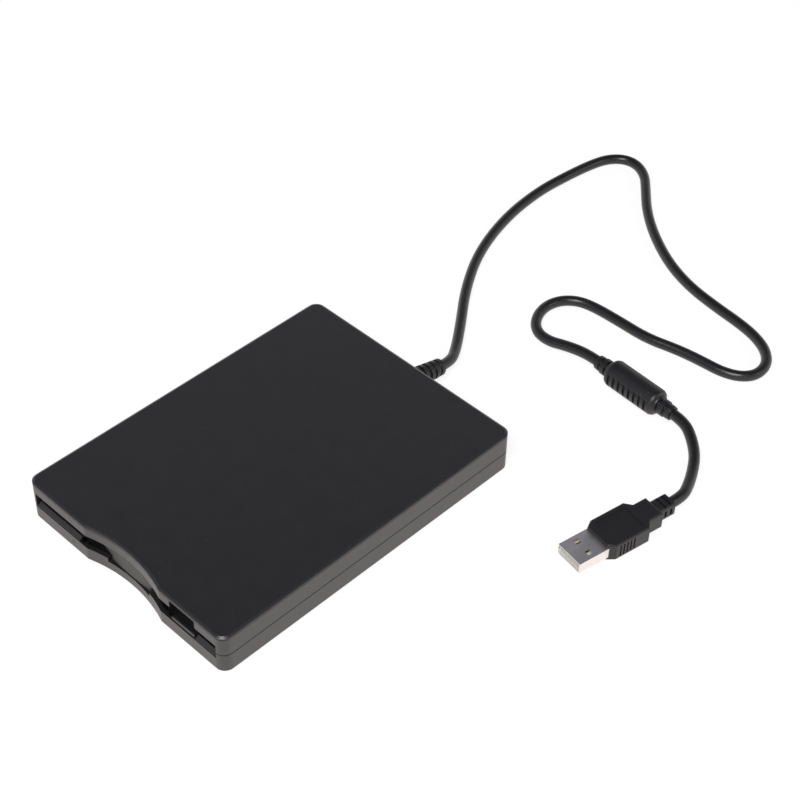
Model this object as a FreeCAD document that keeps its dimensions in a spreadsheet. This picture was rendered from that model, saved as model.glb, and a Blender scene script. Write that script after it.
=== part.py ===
"""External 3.5 inch floppy disk drive: two-part plastic case, slim mechanism, fixed USB cord.

The origin is the middle of the footprint at the height of the table. +X is to the right seen
from the front, +Y runs from the disk slot to the cord, and +Z is up. Lengths are millimetres.
Heights are measured from the table, and lengthwise places from the front or back of the case.
"""

import FreeCAD, Part
import math
import os
import re

import Sketcher
from FreeCAD import Placement, Rotation, Vector

# Driving sizes. Each is one cell of the sheet, under its own alias.
SIZES = {
    # Case
    "foot_stand": 0.5, "corner_round": 4.0, "wall": 1.7, "roof_thickness": 1.7,
    "floor_thickness": 1.5, "seam_height": 9.0, "seam_gap": 0.35, "tongue_thickness": 0.7,
    "tongue_height": 1.1, "tongue_play": 0.1, "bevel_drop": 0.9, "bevel_inset": 0.5,
    "groove_drop": 1.25, "groove_width": 0.3, "groove_depth": 0.3, "base_chamfer": 0.6,
    "scoop_depth": 3.3, "scoop_radius": 62.3, "shoulder_round": 3.0, "case_play": 2.8,
    "rear_bay": 43.5, "roof_gap": 1.0,
    # Disk slot
    "lip_height": 6.6, "lip_thickness": 1.0, "thumb_width": 22.6, "thumb_lip": 4.9,
    "front_cut": 6.2, "notch_width": 12.9, "notch_round": 0.8, "roof_rib": 1.2,
    "roof_rib_inset": 30.0, "slot_margin": 3.8, "slot_trim": 0.05,
    # Case screws and feet
    "screw_front": 10.4, "screw_back": 5.4, "boss_radius": 2.1, "tube_radius": 2.3,
    "screw_radius": 0.9, "screw_length": 11.0, "head_radius": 1.6, "head_height": 1.2,
    "head_depth": 2.4, "foot_radius": 4.0, "foot_sink": 0.4, "screw_inset": 4.6, "foot_inset": 10.5,
    "foot_end": 13.0, "boss_overlap": 1.0,
    # Disk
    "disk_width": 90.0, "disk_length": 94.0, "disk_thickness": 3.3, "disk_recess": 4.5,
    "disk_play": 0.3, "disk_headroom": 0.9, "hub_place": 49.0,
    # Front bezel and flap
    "bezel_play": 0.4, "cheek_width": 1.6, "bezel_depth": 7.5, "bezel_plate": 1.2, "web_front": 1.1,
    "web_thickness": 0.7, "nose_front": 0.15, "nose_blunt": 0.25, "ramp_back": 1.5,
    "hinge_depth": 5.9, "barrel_radius": 0.7, "pin_radius": 0.62, "pin_play": 0.06,
    "flap_thickness": 0.8, "flap_gap": 1.2, "pad_front": 3.55, "pad_half": 11.3, "pad_wide": 17.0,
    "pad_flare": 10.0, "pad_chamfer": 1.0, "spring_bay": 4.0, "spring_inset": 5.0,
    "spring_wire": 0.3, "spring_turns": 4, "nose_gap": 0.4, "ramp_rise": 1.3, "bar_length": 24.5,
    "web_drop": 1.0, "pad_gap": 0.45, "pad_rise": 0.7, "pad_headroom": 0.2, "wing_gap": 0.7,
    "hinge_rise": 1.95, "hinge_bite": 1.0,
    # Eject button and slider
    "button_width": 11.6, "button_front": 0.1, "button_lip": 1.5, "slab_back": 8.4,
    "button_round": 0.3, "stem_width": 6.4, "slider_sheet": 0.8, "slider_travel": 6.5,
    "bar_depth": 3.5, "bar_inset": 1.6, "rail_width": 3.4, "flange_sheet": 0.7, "flange_start": 6.0,
    "slot_reach": 1.1, "slot_half": 1.05, "button_inset": 17.0, "button_gap": 0.7,
    "button_rise": 1.45, "slab_rise": 1.15, "stem_drop": 1.3, "stem_rise": 0.3, "slider_lift": 0.4,
    "slider_tail": 7.5, "flange_rise": 1.8,
    # Drive frame
    "frame_back": 9.0, "frame_sheet": 1.0, "cover_sheet": 0.7, "cover_inset": 0.5, "side_play": 0.2,
    "frame_hole": 1.1, "post_radius": 3.0, "frame_screw_length": 2.4, "frame_head_radius": 2.0,
    "frame_head_height": 1.3, "cover_window": 24.0, "frame_lift": 0.4, "swing_gap": 0.55,
    "cover_gap": 1.0, "post_inset": 15.0, "post_end": 15.0, "post_rear": 12.0, "window_gap": 5.2,
    "window_tail": 6.0,
    # Disk carrier
    "carrier_sheet": 0.6, "carrier_flange": 4.9, "carrier_drop": 1.5, "carrier_pin": 0.8,
    "head_window": 18.0, "carrier_rise": 2.1, "carrier_gap_front": 0.5, "pin_rise": 1.4,
    "pin_inset": 16.5, "pin_span": 44.0, "head_window_gap": 6.2,
    # Shutter lever
    "lever_reach": 22.0, "lever_width": 3.0, "lever_sheet": 0.6, "lever_gap": 0.08,
    "lever_pin": 0.9, "lever_tip_drop": 1.6, "lever_slot": 1.2, "lever_rest": -75.0,
    "lever_swing": 55.0, "lever_inset": 11.0, "lever_end": 4.5,
    # Spindle
    "motor_hole": 21.2, "board_sheet": 0.8, "board_half": 28.0, "board_front": 22.5,
    "board_back": 19.5, "bearing_radius": 3.0, "bearing_flange": 7.2, "bearing_flange_height": 0.7,
    "shaft_radius": 1.5, "shaft_play": 0.05, "core_inner": 5.6, "core_ring": 8.5,
    "tooth_width": 2.2, "tooth_tip": 17.0, "tip_width": 4.6, "tip_depth": 1.6, "core_height": 1.2,
    "coil_width": 3.9, "coil_start": 9.6, "coil_end": 14.4, "coil_height": 1.9,
    "rotor_radius": 20.0, "rotor_rim": 1.1, "rotor_plate": 0.5, "magnet_thickness": 1.5,
    "hub_radius": 12.2, "hub_height": 0.5, "centre_pin": 1.95, "drive_pin": 1.0,
    "drive_pin_reach": 10.0, "rotor_lift": 1.3, "rotor_rise": 3.9, "bearing_rise": 2.8,
    "pin_below": 0.1,
    # Heads
    "tongue_half": 4.5, "tongue_front": 3.5, "carriage_half": 14.0, "carriage_right": 12.0,
    "main_rod": 1.25, "main_rod_x": 11.0, "side_rod": 1.0, "side_rod_x": 9.0, "clip_length": 2.5,
    "clip_width": 5.0, "pivot_half": 8.0, "ear_width": 2.0, "pivot_radius": 0.6, "pivot_play": 0.05,
    "arm_barrel": 1.0, "arm_sheet": 0.9, "arm_root": 5.6, "arm_tip": 3.0, "head_half": 2.2,
    "leaf_sheet": 0.2, "leaf_half": 1.6, "vane_reach": 22.5, "vane_height": 0.6, "vane_length": 4.0,
    "sensor_half": 2.6, "sensor_arm": 1.4, "sensor_gap": 0.5, "head_travel": 14.8,
    "carriage_lift": 0.3, "carriage_height": 3.3, "carriage_length": 20.0, "carriage_overhang": 0.3,
    "pivot_inset": 3.5, "pivot_block": 6.5, "pivot_rise": 0.2, "pivot_drop": 1.0, "ear_rise": 1.1,
    "head_reach": 7.5, "arm_overhang": 2.0, "arm_rise": 0.4, "head_gap": 0.05, "rod_rise": 1.9,
    "clip_gap": 1.2, "rod_tail": 4.0, "vane_rise": 2.3, "vane_inset": 6.5,
    # Stepper
    "screw_x": 19.0, "thread_radius": 1.5, "journal_radius": 1.0, "thread_depth": 0.6,
    "thread_pitch": 3.75, "thread_groove": 0.5, "motor_length": 11.4, "motor_radius": 5.4,
    "bracket_sheet": 0.8, "bracket_half": 5.0, "tab_half": 3.5, "plate_half": 6.5,
    "follower_half": 1.0, "follower_sheet": 1.2, "follower_pin": 0.25, "screw_rise": 4.8,
    "thread_lead": 0.9, "thread_tail": 1.1, "tab_gap": 1.8, "motor_gap": 0.4, "tab_rise": 2.0,
    "plate_rise": 10.1, "follower_inset": 3.0, "follower_rise": 1.8, "follower_reach": 0.95,
    # Boards and switches
    "standoff_radius": 1.6, "board_thickness": 1.2, "bridge_right": 8.0, "bridge_back": 5.6,
    "rib_width": 2.4, "rib_depth": 2.0, "ribbon_width": 10.0, "ribbon_thickness": 0.3,
    "switch_half": 2.6, "plunger_radius": 0.8, "plunger_play": 0.06, "plunger_travel": 1.0,
    "logic_gap": 1.0, "logic_width": 19.0, "logic_rise": 1.6, "logic_end": 2.0,
    "logic_length": 30.0, "bridge_inset": 6.2, "bridge_lift": 1.0, "bridge_headroom": 2.3,
    "switch_inset": 4.65, "switch_end": 8.5, "switch_rise": 3.6, "plunger_rise": 1.6,
    "plunger_gap": 0.6,
    # Light pipe
    "led_height": 3.6, "led_inset": 20.6, "led_radius": 0.95, "led_play": 0.06,
    "led_length": 9.0, "led_collar": 1.3, "led_collar_depth": 1.0,
    # Cord
    "cord_diameter": 4.4, "cord_lead": 6.5, "gland_flange": 5.0, "gland_neck": 3.7,
    "gland_play": 0.1, "gland_flange_depth": 1.2, "relief_start": 4.5, "relief_end": 3.5,
    "relief_core": 2.9, "relief_length": 16.8, "relief_rings": 5, "relief_droop": 11.0,
    "relief_collar": 1.2,
    # Ferrite sleeve
    "ferrite_x": 61.4, "ferrite_y": 133.5, "ferrite_height": 5.7, "ferrite_turn": -3.7,
    "ferrite_radius": 5.6, "ferrite_length": 25.0, "ferrite_round": 1.6, "ferrite_end": 7.1,
    "ferrite_end_radius": 3.4, "ferrite_tip_radius": 2.9, "ferrite_rib_pitch": 2.7,
    "ferrite_rib_cut": 1.2, "ferrite_rib_depth": 1.0, "ferrite_rib_height": 7.0,
    # Plug
    "plug_x": 103.0, "plug_y": 61.0, "plug_height": 4.1, "plug_turn": -10.0, "plug_half": 7.6,
    "plug_nose": 5.6, "plug_nose_depth": 3.0, "plug_shoulder": 18.4, "plug_waist": 20.8,
    "plug_back": 27.0, "plug_back_half": 4.9, "plug_thickness": 8.0, "plug_edge": 1.0,
    "plug_relief_end": 34.5, "plug_relief_half": 3.3, "plug_relief_thickness": 6.2,
    "plug_slot": 1.0, "panel_inset": 1.8, "panel_depth": 0.3, "plug_slot_pitch": 2.6, "grip_pitch": 1.6, "grip_width": 0.7,
    "grip_depth": 0.5, "grip_start": 4.6, "shell_width": 12.0, "shell_height": 4.5,
    "shell_sheet": 0.3, "shell_reach": 12.8, "shell_sunk": 5.0, "shell_play": 0.05,
    "window_size": 2.2, "window_pitch": 6.4, "window_from": 5.2, "tongue_plate": 1.9,
    "tongue_short": 0.7, "contact_sheet": 0.15, "contact_long": 7.4, "contact_short": 6.4,
    "contact_width": 1.1, "contact_pitch": 2.2, "contact_inner": 1.0,
}

doc = FreeCAD.newDocument("floppy_disk_drive")
sheet = doc.addObject("Spreadsheet::Sheet", "Sizes")
for row, (alias, size) in enumerate(SIZES.items(), start=1):
    sheet.set("A%d" % row, alias.replace("_", " "))
    sheet.set("B%d" % row, str(size))
    sheet.setAlias("B%d" % row, alias)
doc.recompute()

# Places and sizes that follow from the driving ones: the case from the disk outwards and from
# the table upwards. Those along the drive are measured from the front, unless they say y.
PLACES = {
    # Across
    "carrier_half": "disk_width / 2 + disk_play + carrier_sheet",
    "slider_half": "carrier_half + side_play + flange_sheet",
    "frame_half": "slider_half + side_play + frame_sheet",
    "case_width": "2 * (frame_half + case_play + wall)",
    "frame_width": "2 * frame_half",
    "slot_width": "disk_width + 2 * slot_margin",
    "screw_spread": "case_width - 2 * screw_inset",
    "foot_spread": "case_width - 2 * foot_inset",
    "post_spread": "frame_width - 2 * post_inset",
    "cheek_half": "slot_width / 2 - bezel_play",
    "flap_half": "cheek_half - cheek_width - flap_gap",
    "pin_length": "flap_gap + hinge_bite",
    "bar_inner": "slot_width / 2 - bar_length",
    "button_offset": "slot_width / 2 - button_inset",
    "button_left": "button_offset - button_width / 2",
    "button_right": "button_offset + button_width / 2",
    "led_x": "slot_width / 2 - led_inset",
    "switch_x": "disk_width / 2 - switch_inset",
    "lever_x": "disk_width / 2 - lever_inset",
    "logic_left": "frame_half - frame_sheet - logic_gap",
    "logic_right": "logic_left - logic_width",
    "ribbon_middle": "(logic_left + logic_right) / 2",
    "bridge_left": "case_width / 2 - wall - bridge_inset",
    # Upwards
    "floor_top": "foot_stand + floor_thickness",
    "frame_height": "floor_top + frame_lift",
    "frame_floor": "frame_height + frame_sheet",
    "slider_height": "frame_floor + slider_lift",
    "slider_top": "slider_height + slider_sheet",
    "carrier_low": "slider_top + carrier_drop + carrier_rise",
    "carrier_floor": "carrier_low + carrier_sheet",
    "carrier_gap": "disk_thickness + disk_headroom",
    "carrier_roof": "carrier_floor + carrier_gap",
    "frame_top": "carrier_roof + carrier_sheet + cover_gap",
    "ceiling": "frame_top + cover_sheet + roof_gap",
    "roof": "ceiling + roof_thickness",
    "slot_top": "carrier_roof - slot_trim",
    "notch_top": "ceiling",
    "boss_low": "seam_height - boss_overlap",
    "rib_top": "seam_height",
    "hinge_height": "slot_top + hinge_rise",
    "nose_low": "lip_height + nose_gap",
    "ramp_top": "nose_low + ramp_rise",
    "low_web": "lip_height - web_drop",
    "wing_low": "ramp_top + wing_gap",
    "pad_low": "thumb_lip + pad_gap",
    "pad_shoulder": "lip_height + pad_rise",
    "pad_top": "slot_top - pad_headroom",
    "button_low": "lip_height + button_gap",
    "button_top": "button_low + button_rise",
    "slab_top": "button_low + slab_rise",
    "stem_low": "button_low - stem_drop",
    "stem_top": "button_low + stem_rise",
    "pin_height": "carrier_low + pin_rise",
    "flange_top": "pin_height + flange_rise",
    "bearing_top": "frame_floor + bearing_rise",
    "rotor_low": "frame_floor + rotor_lift",
    "rotor_top": "frame_floor + rotor_rise",
    "centre_pin_top": "carrier_floor - pin_below",
    "carriage_low": "frame_floor + carriage_lift",
    "carriage_top": "carriage_low + carriage_height",
    "rod_height": "frame_floor + rod_rise",
    "vane_low": "frame_floor + vane_rise",
    "head_top": "carrier_floor - head_gap",
    "upper_head_low": "carrier_roof + head_gap",
    "arm_low": "carrier_roof + arm_rise",
    "pivot_height": "carrier_roof + pivot_rise",
    "pivot_top": "pivot_height - pivot_drop",
    "ear_top": "pivot_height + ear_rise",
    "screw_height": "frame_floor + screw_rise",
    "tab_top": "screw_height + tab_rise",
    "plate_top": "frame_floor + plate_rise",
    "follower_low": "frame_floor + follower_rise",
    "follower_top": "screw_height - follower_reach",
    "logic_height": "frame_floor + logic_rise",
    "bridge_low": "floor_top + bridge_lift",
    "bridge_top": "ceiling - bridge_headroom",
    "switch_top": "frame_floor + switch_rise",
    "plunger_low": "frame_floor + plunger_rise",
    "plunger_top": "carrier_floor - plunger_gap",
    # Along
    "case_length": "disk_recess + disk_length + rear_bay",
    "front": "-case_length / 2",
    "back": "case_length / 2",
    "foot_row": "case_length - 2 * foot_end",
    "hinge_y": "front + hinge_depth",
    "frame_front": "hinge_depth + hinge_height - pad_low + swing_gap",
    "carrier_front": "frame_front + carrier_gap_front",
    "switch_y": "carrier_front + switch_end",
    "post_front": "frame_front + post_end",
    "post_back": "frame_back + post_rear",
    "first_pin": "carrier_front + pin_inset",
    "second_pin": "first_pin + pin_span",
    "slider_back": "second_pin + slider_travel + slider_tail",
    "spindle_back": "disk_recess + hub_place",
    "spindle_y": "front + spindle_back",
    "lever_y": "disk_recess + disk_length - lever_end",
    "carrier_end": "front + disk_recess + disk_length + disk_play / 3",
    "rear": "case_length - frame_back",
    "motor_front": "rear - frame_sheet - motor_gap - motor_length",
    "carriage_back": "motor_front + carriage_overhang",
    "carriage_front": "carriage_back - carriage_length",
    "pivot_y": "carriage_back - pivot_inset",
    "pivot_front": "carriage_back - pivot_block",
    "follower_y": "carriage_back - follower_inset",
    "head_back": "carriage_front - head_reach",
    "head_y": "front + head_back",
    "arm_reach": "head_back - arm_overhang",
    "vane_front": "carriage_front + vane_inset",
    "rod_start": "carriage_front - head_travel - clip_length - clip_gap",
    "rod_end": "carriage_back + rod_tail",
    "thread_start": "follower_y - head_travel - thread_lead",
    "thread_end": "follower_y + thread_tail",
    "bracket_front": "thread_start - tab_gap",
    "logic_back": "rear - logic_end",
    "logic_front": "logic_back - logic_length",
    "window_front": "arm_reach - head_travel - window_gap",
    "window_back": "pivot_y + window_tail",
    "head_window_front": "head_back - head_travel - head_window_gap",
}
WORD = re.compile(r"[a-z_]+[a-z]")


def bound(text):
    """Turn the plain words of an expression into cells of the sheet and places that follow."""

    def cell(match):
        word = match.group()
        if word in PLACES:
            return "Places." + word
        return "Sizes." + word if word in SIZES else word

    return WORD.sub(cell, str(text))


places = doc.addObject("App::VarSet", "Places")
for word, text in PLACES.items():
    places.addProperty("App::PropertyFloat", word, "Places")
    places.setExpression(word, bound(text))
doc.recompute()


def value(word):
    """The number that a cell of the sheet or a place holds."""
    return getattr(places, word) if word in PLACES else float(sheet.get(word))


# Ways of making a piece.

NORMALS = {"XY": Vector(0, 0, 1), "XZ": Vector(0, -1, 0), "YZ": Vector(1, 0, 0)}
pieces = []
cuts = []


def new_body(label):
    """A piece made from sketches; the label names its file."""
    body = doc.addObject("PartDesign::Body", label)
    body.Label = label
    body.AllowCompound = True
    pieces.append(body)
    return body


def new_sketch(body, plane, at="0", turn=None):
    """An empty sketch parallel to one of the body's own planes, at a place along its axis."""
    sketch = body.newObject("Sketcher::SketchObject", body.Name + "_sketch")
    role = [face for face in body.Origin.OriginFeatures if face.Role == plane + "_Plane"]
    sketch.AttachmentSupport = (role[0], [""])
    sketch.MapMode = "FlatFace"
    sign = "-" if plane == "XZ" else ""
    sketch.setExpression("AttachmentOffset.Base.z", bound("%s(%s)" % (sign, at)))
    if turn:
        origin_x, origin_y, angle = turn
        sketch.setExpression("AttachmentOffset.Base.x", bound(origin_x))
        sketch.setExpression("AttachmentOffset.Base.y", bound(origin_y))
        sketch.setExpression("AttachmentOffset.Rotation.Angle", bound(angle))
    return sketch


def drive(sketch, kind, targets, start, expression):
    """Add one measured constraint and tie it to the sheet."""
    index = sketch.addConstraint(Sketcher.Constraint(kind, *targets, start))
    sketch.setExpression("Constraints[%d]" % index, bound(expression))


def outline(sketch, points):
    """A closed loop of straight lines through points given as expressions."""
    first = sketch.GeometryCount
    count = len(points)
    rough = []
    for number in range(count):
        angle = 2 * math.pi * number / count
        rough.append(Vector(10 * math.cos(angle), 10 * math.sin(angle), 0))
    for number in range(count):
        line = Part.LineSegment(rough[number], rough[(number + 1) % count])
        sketch.addGeometry(line, False)
    for number in range(count):
        follower = first + (number + 1) % count
        joint = Sketcher.Constraint("Coincident", first + number, 2, follower, 1)
        sketch.addConstraint(joint)
    for number, (across, along) in enumerate(points):
        corner = (-1, 1, first + number, 1)
        drive(sketch, "DistanceX", corner, rough[number].x, across)
        drive(sketch, "DistanceY", corner, rough[number].y, along)


def rectangle(sketch, left, low, right, high):
    """A rectangle between two corners given as expressions."""
    outline(sketch, [(left, low), (right, low), (right, high), (left, high)])


def circle(sketch, across, along, radius):
    """A circle with its centre and radius given as expressions."""
    index = sketch.addGeometry(Part.Circle(Vector(1, 1, 0), Vector(0, 0, 1), 1), False)
    drive(sketch, "DistanceX", (-1, 1, index, 3), 1, across)
    drive(sketch, "DistanceY", (-1, 1, index, 3), 1, along)
    drive(sketch, "Radius", (index,), 1, radius)


def extrude(kind, body, sketch, length, toward):
    """Pad or pocket a sketch toward +1 or -1 along the axis of its plane."""
    feature = body.newObject("PartDesign::" + kind, body.Name + "_" + kind.lower())
    feature.Profile = sketch
    feature.setExpression("Length", bound(length))
    faces_back = sketch.AttachmentSupport[0][0].Role == "XZ_Plane"
    along_normal = (toward > 0) != faces_back
    feature.Reversed = along_normal if kind == "Pocket" else not along_normal
    sketch.Visibility = False
    return feature


def pad(body, sketch, length, toward=1):
    """Add material from a sketch."""
    return extrude("Pad", body, sketch, length, toward)


def pocket(body, sketch, length, toward=1):
    """Cut material from a sketch, and remember to compare the volumes."""
    before = body.Tip
    feature = extrude("Pocket", body, sketch, length, toward)
    cuts.append((feature, before))
    return feature


def block(body, left, front_y, low, right, back_y, high):
    """Add a straight-sided block between two corners."""
    sketch = new_sketch(body, "XY", low)
    rectangle(sketch, left, front_y, right, back_y)
    return pad(body, sketch, "(%s) - (%s)" % (high, low))


def opening(body, left, front_y, low, right, back_y, high):
    """Cut a straight-sided opening between two corners."""
    sketch = new_sketch(body, "XY", low)
    rectangle(sketch, left, front_y, right, back_y)
    return pocket(body, sketch, "(%s) - (%s)" % (high, low))


def post(body, spots, radius, low, high):
    """Add upright round posts at several spots."""
    sketch = new_sketch(body, "XY", low)
    for across, along in spots:
        circle(sketch, across, along, radius)
    return pad(body, sketch, "(%s) - (%s)" % (high, low))


def bore(body, spots, radius, low, high):
    """Cut upright round holes at several spots."""
    sketch = new_sketch(body, "XY", low)
    for across, along in spots:
        circle(sketch, across, along, radius)
    return pocket(body, sketch, "(%s) - (%s)" % (high, low))


def revolve(body, sketch, groove=False, axis="V_Axis"):
    """Turn a profile a full turn about an axis of its own sketch."""
    kind = "Groove" if groove else "Revolution"
    before = body.Tip
    feature = body.newObject("PartDesign::" + kind, body.Name + "_" + kind.lower())
    feature.Profile = sketch
    feature.ReferenceAxis = (sketch, [axis])
    feature.Angle = 360
    if groove:
        cuts.append((feature, before))
    return feature


def repeat_round(body, feature, sketch, count):
    """Repeat a feature about the upright axis of its sketch."""
    pattern = body.newObject("PartDesign::PolarPattern", body.Name + "_pattern")
    pattern.Originals = [feature]
    pattern.Axis = (sketch, ["N_Axis"])
    pattern.Angle = 360
    pattern.Occurrences = count
    body.Tip = pattern
    return pattern


def edges_where(body, test):
    """Names of the edges of the body so far that pass a test."""
    doc.recompute()
    shape = body.Tip.Shape
    return ["Edge%d" % (n + 1) for n, edge in enumerate(shape.Edges) if test(edge, shape)]


def soften(body, kind, amount, test):
    """Fillet or chamfer the edges that pass a test."""
    names = edges_where(body, test)
    if not names:
        raise RuntimeError("no edges to soften on " + body.Label)
    base = body.Tip
    feature = body.newObject("PartDesign::" + kind, body.Name + "_" + kind.lower())
    feature.Base = (base, names)
    feature.setExpression("Radius" if kind == "Fillet" else "Size", bound(amount))
    body.Tip = feature
    return feature


def level_at(end):
    """A test for edges that lie flat at the top or the bottom of the body."""

    def test(edge, shape):
        box, whole = edge.BoundBox, shape.BoundBox
        level = whole.ZMax if end == "top" else whole.ZMin
        return abs(box.ZMax - level) < 0.001 and abs(box.ZMin - level) < 0.001

    return test


def case_outline(sketch, inset):
    """The plan of the case, drawn in by an inset: round corners and a scooped front."""
    first = sketch.GeometryCount
    step = value(inset) if inset in SIZES else 0.0
    half = value("case_width") / 2 - step
    front_y = value("front") + step
    back_y = value("back") - step
    corner = value("corner_round") - step
    scoop = value("scoop_radius") + step
    shoulder = value("shoulder_round") - step
    scoop_y = value("front") + value("scoop_depth") - value("scoop_radius")
    shoulder_y = value("front") + value("shoulder_round")
    rise = shoulder_y - scoop_y
    shoulder_x = math.sqrt((value("scoop_radius") + value("shoulder_round")) ** 2 - rise ** 2)
    lean = math.atan2(rise, shoulder_x)
    quarter = math.pi / 2

    def arc(x, y, radius, start, end):
        return Part.ArcOfCircle(Part.Circle(Vector(x, y, 0), Vector(0, 0, 1), radius), start, end)

    def line(x0, y0, x1, y1):
        return Part.LineSegment(Vector(x0, y0, 0), Vector(x1, y1, 0))

    near_x = half - corner
    near_y = front_y + corner
    far_y = back_y - corner
    sketch.addGeometry([
        line(-near_x, front_y, -shoulder_x, front_y),
        arc(-shoulder_x, shoulder_y, shoulder, -quarter, -lean),
        arc(0, scoop_y, scoop, lean, math.pi - lean),
        arc(shoulder_x, shoulder_y, shoulder, math.pi + lean, 3 * quarter),
        line(shoulder_x, front_y, near_x, front_y),
        arc(near_x, near_y, corner, -quarter, 0),
        line(half, near_y, half, far_y),
        arc(near_x, far_y, corner, 0, quarter),
        line(near_x, back_y, -near_x, back_y),
        arc(-near_x, far_y, corner, quarter, 2 * quarter),
        line(-half, far_y, -half, near_y),
        arc(-near_x, near_y, corner, 2 * quarter, 3 * quarter)], False)
    front_left, left_shoulder, hollow, right_shoulder, front_right = range(first, first + 5)
    right_side, back_side, left_side = first + 6, first + 8, first + 10
    corners = (first + 5, first + 7, first + 9, first + 11)
    # Each element meets the next at its end, except the hollow arc, which is drawn backwards.
    for number in range(first, first + 12):
        follower = first + (number - first + 1) % 12
        leaves = 1 if number == hollow else 2
        arrives = 2 if follower == hollow else 1
        sketch.addConstraint(Sketcher.Constraint("Tangent", number, leaves, follower, arrives))
    for number in (front_left, front_right, back_side):
        sketch.addConstraint(Sketcher.Constraint("Horizontal", number))
    for number in (right_side, left_side):
        sketch.addConstraint(Sketcher.Constraint("Vertical", number))
    drive(sketch, "DistanceX", (-1, 1, right_side, 1), half, "case_width / 2 - %s" % inset)
    drive(sketch, "DistanceX", (-1, 1, left_side, 1), -half, "-case_width / 2 + %s" % inset)
    drive(sketch, "DistanceY", (-1, 1, front_left, 1), front_y, "front + %s" % inset)
    drive(sketch, "DistanceY", (-1, 1, front_right, 2), front_y, "front + %s" % inset)
    drive(sketch, "DistanceY", (-1, 1, back_side, 1), back_y, "back - %s" % inset)
    for number in corners:
        drive(sketch, "Radius", (number,), corner, "corner_round - %s" % inset)
    for number in (left_shoulder, right_shoulder):
        drive(sketch, "Radius", (number,), shoulder, "shoulder_round - %s" % inset)
    drive(sketch, "Radius", (hollow,), scoop, "scoop_radius + %s" % inset)
    drive(sketch, "DistanceY", (-1, 1, hollow, 3), scoop_y, "front + scoop_depth - scoop_radius")
    sketch.addConstraint(Sketcher.Constraint("PointOnObject", hollow, 3, -2))


CASE_SCREWS = [("%sscrew_spread / 2" % side, end) for side in ("-", "")
               for end in ("front + screw_front", "back - screw_back")]
FRAME_POSTS = [("%spost_spread / 2" % side, end) for side in ("-", "")
               for end in ("front + post_front", "back - post_back")]
FEET = [("%sfoot_spread / 2" % side, "%sfoot_row / 2" % end) for side in ("-", "")
        for end in ("-", "")]


def top_shell():
    """Upper half of the case: a moulded lid with a bevelled rim above a fine shadow groove."""
    body = new_body("top_shell")
    skirt = new_sketch(body, "XY", "seam_height + seam_gap / 2")
    case_outline(skirt, "0")
    pad(body, skirt, "roof - groove_drop - seam_height - seam_gap / 2")
    groove = new_sketch(body, "XY", "roof - groove_drop")
    case_outline(groove, "groove_depth")
    pad(body, groove, "groove_width")
    rim = new_sketch(body, "XY", "roof - groove_drop + groove_width")
    case_outline(rim, "0")
    pad(body, rim, "groove_drop - groove_width")
    bevel = soften(body, "Chamfer", "bevel_inset", level_at("top"))
    bevel.ChamferType = "Two distances"
    bevel.setExpression("Size2", bound("bevel_drop"))
    hollow = new_sketch(body, "XY", "seam_height")
    case_outline(hollow, "wall")
    pocket(body, hollow, "ceiling - seam_height")
    rebate = new_sketch(body, "XY", "seam_height")
    reach = "(case_width / 2 - wall + tongue_thickness + tongue_play)"
    rectangle(rebate, "-" + reach, "front + corner_round", reach, "back - corner_round")
    pocket(body, rebate, "tongue_height + tongue_play * 2")
    slot = new_sketch(body, "XZ", "front - 1")
    rectangle(slot, "-slot_width / 2", "seam_height - 1", "slot_width / 2", "slot_top")
    pocket(body, slot, "front_cut + 1")
    notch = new_sketch(body, "XZ", "front - 1")
    rectangle(notch, "button_offset - notch_width / 2", "slot_top - 1",
              "button_offset + notch_width / 2", "notch_top")
    pocket(body, notch, "wall + 1.2")

    def notch_corner(edge, shape):
        box = edge.BoundBox
        inside = abs(box.ZMax - value("notch_top")) < 0.001 and box.YLength > 0.5
        return inside and box.XLength < 0.001 and box.YMax < shape.BoundBox.YMin + value("wall") + 1

    soften(body, "Fillet", "notch_round", notch_corner)
    post(body, CASE_SCREWS, "boss_radius", "boss_low", "ceiling + roof_thickness / 2")
    bore(body, CASE_SCREWS, "screw_radius + pin_play", "boss_low", "boss_low + screw_length / 2")
    for side in ("-", ""):
        middle = "%sroof_rib_inset" % side
        block(body, middle + " - roof_rib / 2", "front + frame_front + 3",
              "frame_top + cover_sheet + disk_play / 3", middle + " + roof_rib / 2",
              "back - frame_back - 3", "ceiling + roof_thickness / 2")
    cord_hole(body)
    return body


def cord_hole(body):
    """The half round in each shell that holds the neck of the cord's strain relief."""
    sketch = new_sketch(body, "XZ", "back - wall - 1")
    circle(sketch, "0", "seam_height", "gland_neck + gland_play")
    pocket(body, sketch, "wall + 2")


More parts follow.
